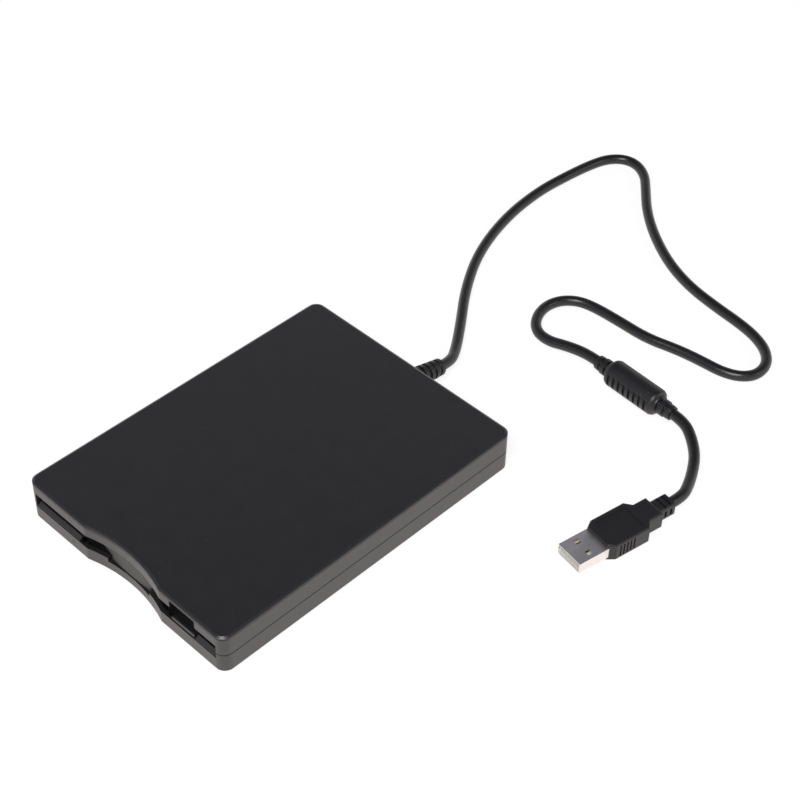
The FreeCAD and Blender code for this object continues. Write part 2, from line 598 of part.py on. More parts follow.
def bottom_shell():
    """Lower half of the case: floor, front lip, screw tubes and the tongue for the seam."""
    body = new_body("bottom_shell")
    tray = new_sketch(body, "XY", "foot_stand")
    case_outline(tray, "0")
    pad(body, tray, "seam_height - seam_gap / 2 - foot_stand")
    soften(body, "Chamfer", "base_chamfer", level_at("bottom"))
    hollow = new_sketch(body, "XY", "floor_top")
    case_outline(hollow, "wall")
    pocket(body, hollow, "seam_height")
    for side in (-1, 1):
        inner = "%d * (case_width / 2 - wall)" % side
        outer = "%d * (case_width / 2 - wall + tongue_thickness)" % side
        low_x, high_x = (outer, inner) if side < 0 else (inner, outer)
        block(body, low_x, "front + corner_round * 1.5", "seam_height - tongue_height", high_x,
              "back - corner_round * 1.5", "seam_height + tongue_height")
    for left, right, low in (("-slot_width / 2", "slot_width / 2", "lip_height"),
                             ("-thumb_width / 2", "thumb_width / 2", "thumb_lip")):
        slot = new_sketch(body, "XZ", "front - 1")
        rectangle(slot, left, low, right, "seam_height + 2 * tongue_height")
        pocket(body, slot, "front_cut + 1")
    for side in (-1, 1):
        inner = "%d * (bar_inner - 1.5)" % side
        outer = "%d * (slot_width / 2 - bezel_play / 2)" % side
        low_x, high_x = (outer, inner) if side < 0 else (inner, outer)
        opening(body, low_x, "front + lip_thickness", "floor_top", high_x, "front + wall + 1",
                "seam_height + tongue_height")
    post(body, CASE_SCREWS, "tube_radius", "foot_stand + floor_thickness / 2", "boss_low - 0.1")
    bore(body, CASE_SCREWS, "screw_radius + 0.2", "foot_stand - 1", "boss_low + 1")
    bore(body, CASE_SCREWS, "head_radius + 0.15", "foot_stand - 1", "foot_stand + head_depth")
    post(body, FRAME_POSTS, "post_radius", "foot_stand + floor_thickness / 2", "frame_height")
    bore(body, FRAME_POSTS, "screw_radius", "foot_stand + floor_thickness / 4",
         "frame_height + 1")
    bore(body, FEET, "foot_radius + 0.1", "foot_stand - 1", "foot_stand + foot_sink")
    led = new_sketch(body, "XZ", "front - 1")
    circle(led, "-led_x", "led_height", "led_radius + led_play")
    pocket(body, led, "wall + 1.2")
    cord_hole(body)
    for end in ("-bridge_left", "-bridge_right"):
        sketch = new_sketch(body, "XY", "foot_stand + floor_thickness / 2")
        board_back = "back - bridge_back"
        board_front = board_back + " - board_thickness"
        inward = "rib_width / 2" if end == "-bridge_left" else "-rib_width / 2"
        outward = "-rib_width / 2" if end == "-bridge_left" else "rib_width / 2"
        outline(sketch, [
            (end + " + " + inward, board_front + " - rib_depth"),
            (end + " + " + inward, board_front + " - 0.05"),
            (end + " - 0", board_front + " - 0.05"),
            (end + " - 0", board_back + " + 0.05"),
            (end + " + " + inward, board_back + " + 0.05"),
            (end + " + " + inward, board_back + " + rib_depth"),
            (end + " + " + outward, board_back + " + rib_depth"),
            (end + " + " + outward, board_front + " - rib_depth")])
        pad(body, sketch, "rib_top - foot_stand - floor_thickness / 2")
    return body


def rubber_feet():
    """Four round rubber feet pressed into shallow recesses under the case."""
    body = new_body("rubber_feet")
    post(body, FEET, "foot_radius", "0", "foot_stand + foot_sink")
    soften(body, "Chamfer", "foot_stand / 2", level_at("bottom"))
    return body


def case_screws():
    """Four self-tapping screws that go up through the bottom shell into the lid's bosses."""
    body = new_body("case_screws")
    head = "foot_stand + head_depth - head_height"
    post(body, CASE_SCREWS, "head_radius", head, head + " + head_height")
    post(body, CASE_SCREWS, "screw_radius", head, head + " + screw_length - head_height")
    return body


def light_pipe():
    """Clear rod that carries the light of the activity lamp to the front."""
    body = new_body("led_light_pipe")
    rod = new_sketch(body, "XZ", "front - 0.05")
    circle(rod, "-led_x", "led_height", "led_radius")
    pad(body, rod, "led_length")
    collar = new_sketch(body, "XZ", "front + web_front + web_thickness + 0.05")
    circle(collar, "-led_x", "led_height", "led_collar")
    pad(body, collar, "led_collar_depth")
    return body


def front_bezel():
    """Inner front of the drive: cheeks that carry the flap, and sloped bars below the slot."""
    body = new_body("front_bezel")
    back_y = "front + bezel_depth"
    plate_front = "front + scoop_depth + wall + 0.3"
    block(body, "-cheek_half", plate_front, "floor_top", "cheek_half", back_y,
          "floor_top + bezel_plate")
    web_back = "front + web_front + web_thickness"
    for side in (-1, 1):
        inner = "%d * bar_inner" % side
        outer = "%d * cheek_half" % side
        low_x, high_x = (outer, inner) if side < 0 else (inner, outer)
        block(body, low_x, "front + web_front", "floor_top", high_x, back_y,
              "floor_top + bezel_plate")
        cheek_in = "%d * (cheek_half - cheek_width)" % side
        low_x, high_x = (outer, cheek_in) if side < 0 else (cheek_in, outer)
        block(body, low_x, "front + wall + 0.2", "floor_top", high_x, back_y, "ceiling - 0.15")
    bars = (("-cheek_half", "-bar_inner"), ("button_right + 0.4", "cheek_half"))
    for left, right in bars:
        sketch = new_sketch(body, "YZ", left)
        outline(sketch, [
            ("front + web_front", "floor_top"),
            (web_back, "floor_top"),
            (web_back, "ramp_top"),
            ("front + ramp_back", "ramp_top"),
            ("front + nose_front", "nose_low + nose_blunt"),
            ("front + nose_front", "nose_low"),
            ("front + web_front", "nose_low")])
        pad(body, sketch, "(%s) - (%s)" % (right, left))
    block(body, "bar_inner", "front + web_front", "floor_top", "button_right + 0.6", web_back,
          "low_web")
    holes = new_sketch(body, "YZ", "-cheek_half - 1")
    circle(holes, "hinge_y", "hinge_height", "pin_radius + pin_play")
    pocket(body, holes, "2 * cheek_half + 2")
    led = new_sketch(body, "XZ", "front")
    circle(led, "-led_x", "led_height", "led_radius + led_play")
    pocket(body, led, "web_front + web_thickness + 0.5")
    collar = new_sketch(body, "XZ", web_back)
    circle(collar, "-led_x", "led_height", "led_collar + led_play")
    pocket(body, collar, "bezel_depth")
    return body


def dust_flap():
    """Sprung flap across the slot, hinged at its top edge, with a pad that fills the scoop."""
    body = new_body("dust_flap")
    barrel = new_sketch(body, "YZ", "-flap_half")
    circle(barrel, "hinge_y", "hinge_height", "barrel_radius")
    pad(body, barrel, "2 * flap_half")
    wing = new_sketch(body, "YZ", "-flap_half")
    rectangle(wing, "hinge_y - flap_thickness / 2", "wing_low", "hinge_y + flap_thickness / 2",
              "hinge_height")
    pad(body, wing, "2 * flap_half")
    face = new_sketch(body, "XZ", "front + pad_front")
    outline(face, [
        ("-pad_half", "pad_low"), ("pad_half", "pad_low"), ("pad_half", "pad_shoulder"),
        ("pad_wide", "pad_flare"), ("pad_wide", "pad_top"), ("-pad_wide", "pad_top"),
        ("-pad_wide", "pad_flare"), ("-pad_half", "pad_shoulder")])
    pad(body, face, "hinge_depth - pad_front + flap_thickness / 2")

    def pad_flank(edge, shape):
        box = edge.BoundBox
        at_front = abs(box.YMax - shape.BoundBox.YMin) < 0.001
        middle = (box.ZMax + box.ZMin) / 2
        return at_front and box.ZLength > 0.5 and middle > value("pad_low") + 0.1

    soften(body, "Chamfer", "pad_chamfer", pad_flank)
    bay = "-flap_half + spring_inset"
    opening(body, bay, "hinge_y - 2", "hinge_height - 1.6", bay + " + spring_bay",
            "hinge_y + 2", "hinge_height + 2")
    pins = new_sketch(body, "YZ", "-flap_half - pin_length")
    circle(pins, "hinge_y", "hinge_height", "pin_radius")
    pad(body, pins, "2 * (flap_half + pin_length)")
    return body


def tube_along(points, radius):
    """A round wire through points, bent with tangent arcs; returns its solid and radii."""
    edges = []
    radii = []
    last = points[0]
    for number in range(1, len(points) - 1):
        here = points[number]
        into = here - points[number - 1]
        out = points[number + 1] - here
        reach = 0.45 * min(into.Length, out.Length)
        half_turn = into.getAngle(out) / 2
        into.normalize()
        out.normalize()
        start = here - into * reach
        end = here + out * reach
        bend = reach / math.tan(half_turn)
        chord = (out - into).normalize()
        middle = here + chord * (bend / math.cos(half_turn) - bend)
        edges.append(Part.LineSegment(last, start).toShape())
        edges.append(Part.Arc(start, middle, end).toShape())
        radii.append(bend)
        last = end
    edges.append(Part.LineSegment(last, points[-1]).toShape())
    path = Part.Wire(edges)
    direction = points[1] - points[0]
    section = Part.Wire(Part.Circle(points[0], direction, radius).toShape())
    solid = path.makePipeShell([section], True, False)
    return solid, radii, path.Length


def coil(radius, pitch, turns, wire):
    """A spring wound from square wire about the Z axis, as one unbroken length."""
    helix = Part.makeHelix(pitch, pitch * turns, radius)
    corners = [Vector(radius + across * wire, 0, along * wire)
               for across, along in ((-1, -1), (1, -1), (1, 1), (-1, 1), (-1, -1))]
    return Part.Wire(helix).makePipeShell([Part.makePolygon(corners)], True, True)


def new_feature(label, shape, placement=None):
    """A piece whose shape is worked out from the sheet's values."""
    feature = doc.addObject("Part::Feature", label)
    feature.Label = label
    feature.Shape = shape
    if placement:
        feature.Placement = placement
    pieces.append(feature)
    return feature


def flap_spring():
    """Torsion spring on the flap's hinge pin, in the bay cut into the flap."""
    wire = value("spring_wire") / 2
    turns = value("spring_turns")
    winding = value("pin_radius") + wire + 0.1
    pitch = 2 * wire + 0.3
    spring = coil(winding, pitch, turns, wire)
    legs = []
    for along, toward in ((0, 1), (pitch * turns, -1)):
        corner = Vector(winding - wire, min(0, toward * 1.2), along - wire)
        legs.append(Part.makeBox(2 * wire, 1.2, 2 * wire, corner))
    shape = spring.fuse(legs)
    start = Vector(-value("flap_half") + value("spring_inset") + 0.4, value("hinge_y"),
                   value("hinge_height"))
    new_feature("flap_spring", shape, Placement(start, Rotation(Vector(0, 1, 0), 90)))


def eject_button():
    """Eject button: a raised front lip, a flat slab behind it and a stem to the slider."""
    body = new_body("eject_button")
    sketch = new_sketch(body, "YZ", "button_left")
    outline(sketch, [
        ("front + button_front", "button_low + button_round"),
        ("front + button_front + button_round", "button_low"),
        ("front + slab_back", "button_low"),
        ("front + slab_back", "slab_top"),
        ("front + button_lip + button_round", "slab_top"),
        ("front + button_lip", "button_top"),
        ("front + button_front + button_round", "button_top"),
        ("front + button_front", "button_top - button_round")])
    pad(body, sketch, "button_width")
    block(body, "button_offset - stem_width / 2", "front + slab_back - 0.5", "stem_low",
          "button_offset + stem_width / 2", "front + frame_front + 1", "stem_top")
    return body


def slider_plate():
    """Sliding plate under the disk: its sloped slots lift and lower the disk carrier."""
    body = new_body("slider_plate")
    front_y = "front + frame_front + 1"
    bar_back = front_y + " + bar_depth"
    end_y = "front + slider_back"
    inner = "slider_half - rail_width"
    outer = "slider_half"
    neck = "slider_half - bar_inset"
    step_y = front_y + " + bar_depth - 1"
    sketch = new_sketch(body, "XY", "slider_height")
    outline(sketch, [
        ("-(%s)" % neck, front_y), (neck, front_y), (neck, step_y), (outer, step_y),
        (outer, end_y), (inner, end_y), (inner, bar_back), ("-(%s)" % inner, bar_back),
        ("-(%s)" % inner, end_y), ("-(%s)" % outer, end_y), ("-(%s)" % outer, step_y),
        ("-(%s)" % neck, step_y)])
    pad(body, sketch, "slider_sheet")
    for side in (-1, 1):
        inside = "%d * (slider_half - flange_sheet)" % side
        outside = "%d * slider_half" % side
        low_x, high_x = (outside, inside) if side < 0 else (inside, outside)
        block(body, low_x, front_y + " + flange_start", "slider_height", high_x, end_y,
              "flange_top")
    slots = new_sketch(body, "YZ", "-slider_half - 1")
    for pin in ("first_pin", "second_pin"):
        near = "front + %s - slot_reach" % pin
        far = "front + %s + slider_travel + slot_reach" % pin
        outline(slots, [
            (near, "pin_height - slot_half"), (far, "pin_height - carrier_drop - slot_half"),
            (far, "pin_height - carrier_drop + slot_half"), (near, "pin_height + slot_half")])
    pocket(body, slots, "2 * slider_half + 2")
    block(body, "button_offset - stem_width / 2", front_y, "slider_height",
          "button_offset + stem_width / 2", front_y + " + slider_sheet", "stem_top")
    return body


def drive_frame():
    """Pressed steel tray that carries the mechanism, with upright slots for the carrier's pins."""
    body = new_body("drive_frame")
    front_y = "front + frame_front"
    back_y = "back - frame_back"
    half = "frame_width / 2"
    block(body, "-" + half, front_y, "frame_height", half, back_y, "frame_top")
    opening(body, "-%s + frame_sheet" % half, front_y + " - 1", "frame_floor",
            half + " - frame_sheet", back_y + " - frame_sheet", "frame_top + 1")
    bore(body, [("0", "spindle_y")], "motor_hole", "frame_height - 1", "frame_floor + 1")
    for side in (-1, 1):
        inner = "%d * carriage_half" % side
        outer = "%d * (post_spread / 2 - post_radius - 3)" % side
        low_x, high_x = (outer, inner) if side < 0 else (inner, outer)
        opening(body, low_x, "spindle_y + motor_hole + 4", "frame_height - 1", high_x,
                "front + bracket_front - 8", "frame_floor + 1")
    opening(body, "screw_x - motor_radius - 0.5", "front + motor_front - 0.1", "frame_height - 1",
            "screw_x + motor_radius + 0.5", "front + motor_front + motor_length + 0.6",
            "frame_floor + 1")
    pins = new_sketch(body, "YZ", "-frame_width / 2 - 1")
    for pin in ("first_pin", "second_pin"):
        rectangle(pins, "front + %s - carrier_pin - 0.15" % pin,
                  "pin_height - carrier_drop - carrier_pin - 0.3",
                  "front + %s + carrier_pin + 0.15" % pin, "frame_top + 1")
    pocket(body, pins, "frame_width + 2")
    opening(body, "-ribbon_middle - ribbon_width / 2 - 1", back_y + " - 2", "logic_height",
            "-ribbon_middle + ribbon_width / 2 + 1", back_y + " + 1", "frame_top + 1")
    bore(body, FRAME_POSTS, "frame_hole", "frame_height - 1", "frame_floor + 1")
    standoffs = [("-logic_left + 2.5", "front + logic_front + 2.5"),
                 ("-logic_right - 2.5", "front + logic_front + 2.5"),
                 ("-logic_left + 2.5", "front + logic_back - 2.5")]
    post(body, standoffs, "standoff_radius", "frame_height + frame_sheet / 2", "logic_height")
    return body


def frame_screws():
    """Four pan-head screws that fix the frame to the posts of the bottom shell."""
    body = new_body("frame_screws")
    post(body, FRAME_POSTS, "frame_head_radius", "frame_floor", "frame_floor + frame_head_height")
    soften(body, "Chamfer", "frame_head_height / 3", level_at("top"))
    post(body, FRAME_POSTS, "screw_radius - 0.03", "frame_floor - frame_screw_length",
         "frame_floor + frame_head_height / 2")
    return body


def frame_cover():
    """Thin steel cover over the mechanism, open above the heads and the spindle."""
    body = new_body("frame_cover")
    block(body, "-frame_width / 2 + 0.1", "front + frame_front + cover_inset", "frame_top",
          "frame_width / 2 - 0.1", "back - frame_back - cover_inset", "frame_top + cover_sheet")
    opening(body, "-cover_window / 2", "front + window_front", "frame_top - 1",
            "cover_window / 2", "front + window_back", "frame_top + 1.5")
    bore(body, [("0", "spindle_y")], "hub_radius + 2", "frame_top - 1", "frame_top + 2")
    for side in (-1, 1):
        sketch = new_sketch(body, "XY", "frame_top - 1")
        middle = "%d * roof_rib_inset" % side
        near = "front + frame_front + 12"
        rectangle(sketch, middle + " - 6", near, middle + " + 6", near + " + 4")
        pocket(body, sketch, "3")
    return body


def disk_carrier():
    """Sheet-metal holder that takes the disk by its edges and lowers it onto the spindle."""
    body = new_body("disk_carrier")
    half = "carrier_half"
    inner = "carrier_half - carrier_sheet"
    lip = "carrier_half - carrier_flange"
    front_y = "front + carrier_front"
    sketch = new_sketch(body, "XZ", front_y)
    outline(sketch, [
        ("-" + half, "carrier_low"), ("-(%s)" % lip, "carrier_low"),
        ("-(%s)" % lip, "carrier_floor"), ("-(%s)" % inner, "carrier_floor"),
        ("-(%s)" % inner, "carrier_roof"), (inner, "carrier_roof"), (inner, "carrier_floor"),
        (lip, "carrier_floor"), (lip, "carrier_low"), (half, "carrier_low"),
        (half, "carrier_roof + carrier_sheet"), ("-" + half, "carrier_roof + carrier_sheet")])
    pad(body, sketch, "carrier_end - (%s)" % front_y)
    opening(body, "-head_window / 2", "front + head_window_front", "carrier_roof - 1",
            "head_window / 2", "carrier_end + 1", "carrier_roof + 2")
    slot = new_sketch(body, "XY", "carrier_roof - 1")
    arc_slot(slot)
    pocket(body, slot, "carrier_sheet + 2")
    for side in (-1, 1):
        middle = "%d * switch_x" % side
        opening(body, middle + " - switch_half - 0.3", "front + switch_y - switch_half - 0.3",
                "carrier_low - 1", middle + " + switch_half + 0.3",
                "front + switch_y + switch_half + 0.3", "carrier_floor + 0.1")
    for side in (-1, 1):
        middle = "%d * 24" % side
        opening(body, middle + " - 8", "front + first_pin", "carrier_roof - 1", middle + " + 8",
                "front + first_pin + 9", "carrier_roof + 2")
    for side in (-1, 1):
        inside = "%d * (carrier_half - carrier_sheet / 2)" % side
        start = inside if side > 0 else "-(frame_width / 2 - 0.1)"
        pins = new_sketch(body, "YZ", start)
        for pin in ("first_pin", "second_pin"):
            circle(pins, "front + %s" % pin, "pin_height", "carrier_pin")
        pad(body, pins, "frame_width / 2 - 0.1 - carrier_half + carrier_sheet / 2")
    return body


def arc_slot(sketch):
    """A slot that follows the tip of the shutter lever round its pivot."""
    centre = Vector(-value("lever_x"), value("front") + value("lever_y"), 0)
    reach = value("lever_reach")
    half = value("lever_slot")
    margin = math.degrees(0.4 / reach)
    start = math.radians(value("lever_rest") - margin)
    end = math.radians(value("lever_rest") + value("lever_swing") + margin)
    up = Vector(0, 0, 1)

    def on_arc(radius, angle):
        return centre + Vector(radius * math.cos(angle), radius * math.sin(angle), 0)

    outer = Part.ArcOfCircle(Part.Circle(centre, up, reach + half), start, end)
    inner = Part.ArcOfCircle(Part.Circle(centre, up, reach - half), start, end)
    near = Part.ArcOfCircle(Part.Circle(on_arc(reach, start), up, half), start - math.pi, start)
    far = Part.ArcOfCircle(Part.Circle(on_arc(reach, end), up, half), end, end + math.pi)
    sketch.addGeometry([outer, far, inner, near], False)
    for joint in ((0, 2, 1, 1), (1, 2, 2, 2), (2, 1, 3, 1), (3, 2, 0, 1)):
        sketch.addConstraint(Sketcher.Constraint("Tangent", *joint))
    sketch.addConstraint(Sketcher.Constraint("Coincident", 0, 3, 2, 3))
    drive(sketch, "DistanceX", (-1, 1, 0, 3), centre.x, "-lever_x")
    drive(sketch, "DistanceY", (-1, 1, 0, 3), centre.y, "front + lever_y")
    drive(sketch, "Radius", (0,), reach + half, "lever_reach + lever_slot")
    drive(sketch, "Radius", (2,), reach - half, "lever_reach - lever_slot")
    first = on_arc(reach, start)
    last = on_arc(reach, end)
    swing = "lever_rest + lever_swing"
    drive(sketch, "DistanceX", (-1, 1, 3, 3), first.x,
          "-lever_x + lever_reach * cos((lever_rest - 1) * 1 deg)")
    drive(sketch, "DistanceX", (-1, 1, 1, 3), last.x,
          "-lever_x + lever_reach * cos((%s + 1) * 1 deg)" % swing)


def shutter_lever():
    """Sprung lever that slides the disk's metal shutter open as the disk goes in."""
    body = new_body("shutter_lever")
    low = "carrier_roof + carrier_sheet + lever_gap"
    sketch = new_sketch(body, "XY", low, ("-lever_x", "front + lever_y", "lever_rest * 1 deg"))
    outline(sketch, [
        ("-lever_width * 0.8", "-lever_width * 0.8"), ("lever_width", "-lever_width * 0.8"),
        ("lever_reach", "-lever_width / 3"), ("lever_reach + 1.2", "0"),
        ("lever_reach", "lever_width / 3"), ("lever_width", "lever_width * 0.8"),
        ("-lever_width * 0.8", "lever_width * 0.8")])
    pad(body, sketch, "lever_sheet")
    tip = new_sketch(body, "XY", low, ("-lever_x", "front + lever_y", "lever_rest * 1 deg"))
    circle(tip, "lever_reach", "0", "lever_pin * 0.8")
    pad(body, tip, "lever_tip_drop", toward=-1)
    pivot = new_sketch(body, "XY", low)
    circle(pivot, "-lever_x", "front + lever_y", "lever_pin")
    pad(body, pivot, "lever_sheet + 0.3")
    return body


def spindle():
    """Direct-drive spindle motor: board, bearing, wound stator, magnet rotor and hub."""
    board = new_body("motor_board")
    board_top = "frame_floor + board_sheet"
    block(board, "-board_half", "spindle_y - board_front", "frame_floor", "board_half",
          "spindle_y + board_back", board_top)
    bore(board, [("0", "spindle_y")], "bearing_radius + 0.05", "frame_floor - 1",
         board_top + " + 1")

    bearing = new_body("spindle_bearing")
    profile = new_sketch(bearing, "YZ", "0", ("spindle_y", "0", "0"))
    outline(profile, [
        ("shaft_radius + shaft_play", "frame_height + 0.2"),
        ("bearing_radius", "frame_height + 0.2"), ("bearing_radius", board_top),
        ("bearing_flange", board_top), ("bearing_flange", board_top + " + bearing_flange_height"),
        ("bearing_radius", board_top + " + bearing_flange_height"),
        ("bearing_radius", "bearing_top"), ("shaft_radius + shaft_play", "bearing_top")])
    revolve(bearing, profile)

    core_low = board_top + " + bearing_flange_height"
    core = new_body("stator_core")
    post(core, [("0", "spindle_y")], "core_ring", core_low, core_low + " + core_height")
    tooth = new_sketch(core, "XY", core_low, ("0", "spindle_y", "0"))
    outline(tooth, [
        ("core_ring - 1", "-tooth_width / 2"), ("tooth_tip - tip_depth", "-tooth_width / 2"),
        ("tooth_tip - tip_depth / 2", "-tip_width / 2"), ("tooth_tip", "-tip_width / 2"),
        ("tooth_tip", "tip_width / 2"), ("tooth_tip - tip_depth / 2", "tip_width / 2"),
        ("tooth_tip - tip_depth", "tooth_width / 2"), ("core_ring - 1", "tooth_width / 2")])
    feature = pad(core, tooth, "core_height")
    repeat_round(core, feature, tooth, 9)
    bore(core, [("0", "spindle_y")], "core_inner", core_low + " - 1", core_low + " + 3")

    coils = new_body("stator_coils")
    middle = core_low + " + core_height / 2"
    winding = new_sketch(coils, "XY", middle + " - coil_height / 2", ("0", "spindle_y", "0"))
    rectangle(winding, "coil_start", "-coil_width / 2", "coil_end", "coil_width / 2")
    feature = pad(coils, winding, "coil_height")
    doc.recompute()
    gap = new_sketch(coils, "XY", core_low, ("0", "spindle_y", "0"))
    rectangle(gap, "coil_start - 1", "-tooth_width / 2", "coil_end + 1", "tooth_width / 2")
    hole = pocket(coils, gap, "core_height")
    pattern = repeat_round(coils, feature, winding, 9)
    pattern.Originals = [feature, hole]

    rotor = new_body("spindle_rotor")
    cup = new_sketch(rotor, "YZ", "0", ("spindle_y", "0", "0"))
    plate_low = "rotor_top - rotor_plate"
    outline(cup, [
        ("0", "frame_height + 0.3"), ("shaft_radius", "frame_height + 0.3"),
        ("shaft_radius", "bearing_top + 0.1"), ("bearing_radius", "bearing_top + 0.1"),
        ("bearing_radius", plate_low), ("rotor_radius - rotor_rim", plate_low),
        ("rotor_radius - rotor_rim", "rotor_low"), ("rotor_radius", "rotor_low"),
        ("rotor_radius", "rotor_top"), ("0", "rotor_top")])
    revolve(rotor, cup)

    magnet = new_body("rotor_magnet")
    ring = new_sketch(magnet, "YZ", "0", ("spindle_y", "0", "0"))
    rectangle(ring, "rotor_radius - rotor_rim - magnet_thickness", "rotor_low",
              "rotor_radius - rotor_rim", plate_low)
    revolve(magnet, ring)

    hub = new_body("spindle_hub")
    disc = new_sketch(hub, "YZ", "0", ("spindle_y", "0", "0"))
    outline(disc, [
        ("0", "rotor_top"), ("hub_radius", "rotor_top"),
        ("hub_radius", "rotor_top + hub_height - 0.2"),
        ("hub_radius - 0.3", "rotor_top + hub_height"),
        ("centre_pin", "rotor_top + hub_height"), ("centre_pin", "centre_pin_top - 0.4"),
        ("centre_pin - 0.5", "centre_pin_top"), ("0", "centre_pin_top")])
    revolve(hub, disc)
    post(hub, [("drive_pin_reach", "spindle_y")], "drive_pin", "rotor_top",
         "centre_pin_top - 0.1")


def head_carriage():
    """Moulded carriage that runs on two rods and holds the heads."""
    body = new_body("head_carriage")
    block(body, "-tongue_half", "head_y - tongue_front", "carriage_low", "tongue_half",
          "front + carriage_front + 1", "carriage_top - 0.4")
    block(body, "-carriage_half", "front + carriage_front", "carriage_low", "carriage_right",
          "front + carriage_back", "carriage_top")
    block(body, "-pivot_half", "front + pivot_front", "carriage_low", "pivot_half",
          "front + carriage_back", "pivot_top")
    for side in (-1, 1):
        inside = "%d * (pivot_half - ear_width)" % side
        outside = "%d * pivot_half" % side
        low_x, high_x = (outside, inside) if side < 0 else (inside, outside)
        block(body, low_x, "front + pivot_y - 2", "pivot_top - 1", high_x,
              "front + pivot_y + 2", "ear_top")
    ears = new_sketch(body, "YZ", "-pivot_half - 1")
    circle(ears, "front + pivot_y", "pivot_height", "pivot_radius + pivot_play")
    pocket(body, ears, "2 * pivot_half + 2")
    block(body, "pivot_half - 1", "front + follower_y - follower_half", "follower_low",
          "screw_x + 1.2", "front + follower_y + follower_half", "follower_low + follower_sheet")
    block(body, "-vane_reach", "front + vane_front", "vane_low", "-carriage_half + 1",
          "front + vane_front + vane_length", "vane_low + vane_height")
    rods = new_sketch(body, "XZ", "front + rod_start")
    circle(rods, "-main_rod_x", "rod_height", "main_rod + shaft_play")
    circle(rods, "side_rod_x", "rod_height", "side_rod + 2 * shaft_play")
    pocket(body, rods, "rod_end - rod_start")
    opening(body, "-main_rod_x - 3.2", "front + carriage_front + 5", "carriage_low - 1",
            "-main_rod_x + 3.2", "front + carriage_front + 13", "carriage_top + 1")
    post(body, [("screw_x", "front + follower_y")], "follower_pin", "follower_low + 0.5",
         "follower_top")
    return body


def heads():
    """The two ferrite heads, the sprung arm of the upper one and its leaf spring."""
    lower = new_body("lower_head")
    block(lower, "-head_half", "head_y - head_half", "carriage_top - 0.4", "head_half",
          "head_y + head_half", "head_top")
    soften(lower, "Fillet", "0.4", level_at("top"))

    arm = new_body("upper_head_arm")
    sketch = new_sketch(arm, "XY", "arm_low")
    outline(sketch, [
        ("-arm_tip", "front + arm_reach"), ("arm_tip", "front + arm_reach"),
        ("arm_tip", "front + arm_reach + 5"), ("arm_root", "front + pivot_front"),
        ("arm_root", "front + pivot_y"), ("-arm_root", "front + pivot_y"),
        ("-arm_root", "front + pivot_front"), ("-arm_tip", "front + arm_reach + 5")])
    pad(arm, sketch, "arm_sheet")
    barrel = new_sketch(arm, "YZ", "-arm_root")
    circle(barrel, "front + pivot_y", "pivot_height", "arm_barrel")
    pad(arm, barrel, "2 * arm_root")
    opening(arm, "-arm_tip / 2", "front + arm_reach + 8", "arm_low - 1", "arm_tip / 2",
            "front + pivot_front - 3", "arm_low + 2")
    pin = new_sketch(arm, "YZ", "-pivot_half + 0.2")
    circle(pin, "front + pivot_y", "pivot_height", "pivot_radius")
    pad(arm, pin, "2 * pivot_half - 0.4")

    upper = new_body("upper_head")
    block(upper, "-head_half", "head_y - head_half", "upper_head_low", "head_half",
          "head_y + head_half", "arm_low")

    leaf = new_body("arm_leaf_spring")
    block(leaf, "-leaf_half", "head_y + 2", "arm_low + arm_sheet", "leaf_half",
          "front + pivot_y - 1", "arm_low + arm_sheet + leaf_sheet")


def guide_rods():
    """Two ground steel rods for the carriage, and the clips that hold them on the frame."""
    body = new_body("guide_rods")
    sketch = new_sketch(body, "XZ", "front + rod_start")
    circle(sketch, "-main_rod_x", "rod_height", "main_rod")
    circle(sketch, "side_rod_x", "rod_height", "side_rod")
    pad(body, sketch, "rod_end - rod_start")
    clips = new_body("rod_clips")
    for near in ("front + rod_start", "front + rod_end - clip_length"):
        for middle in ("-main_rod_x", "side_rod_x"):
            block(clips, middle + " - clip_width / 2", near, "frame_floor",
                  middle + " + clip_width / 2", near + " + clip_length", "carriage_top")
    holes = new_sketch(clips, "XZ", "front + rod_start - 1")
    circle(holes, "-main_rod_x", "rod_height", "main_rod + 0.02")
    circle(holes, "side_rod_x", "rod_height", "side_rod + 0.02")
    pocket(clips, holes, "rod_end - rod_start + 2")


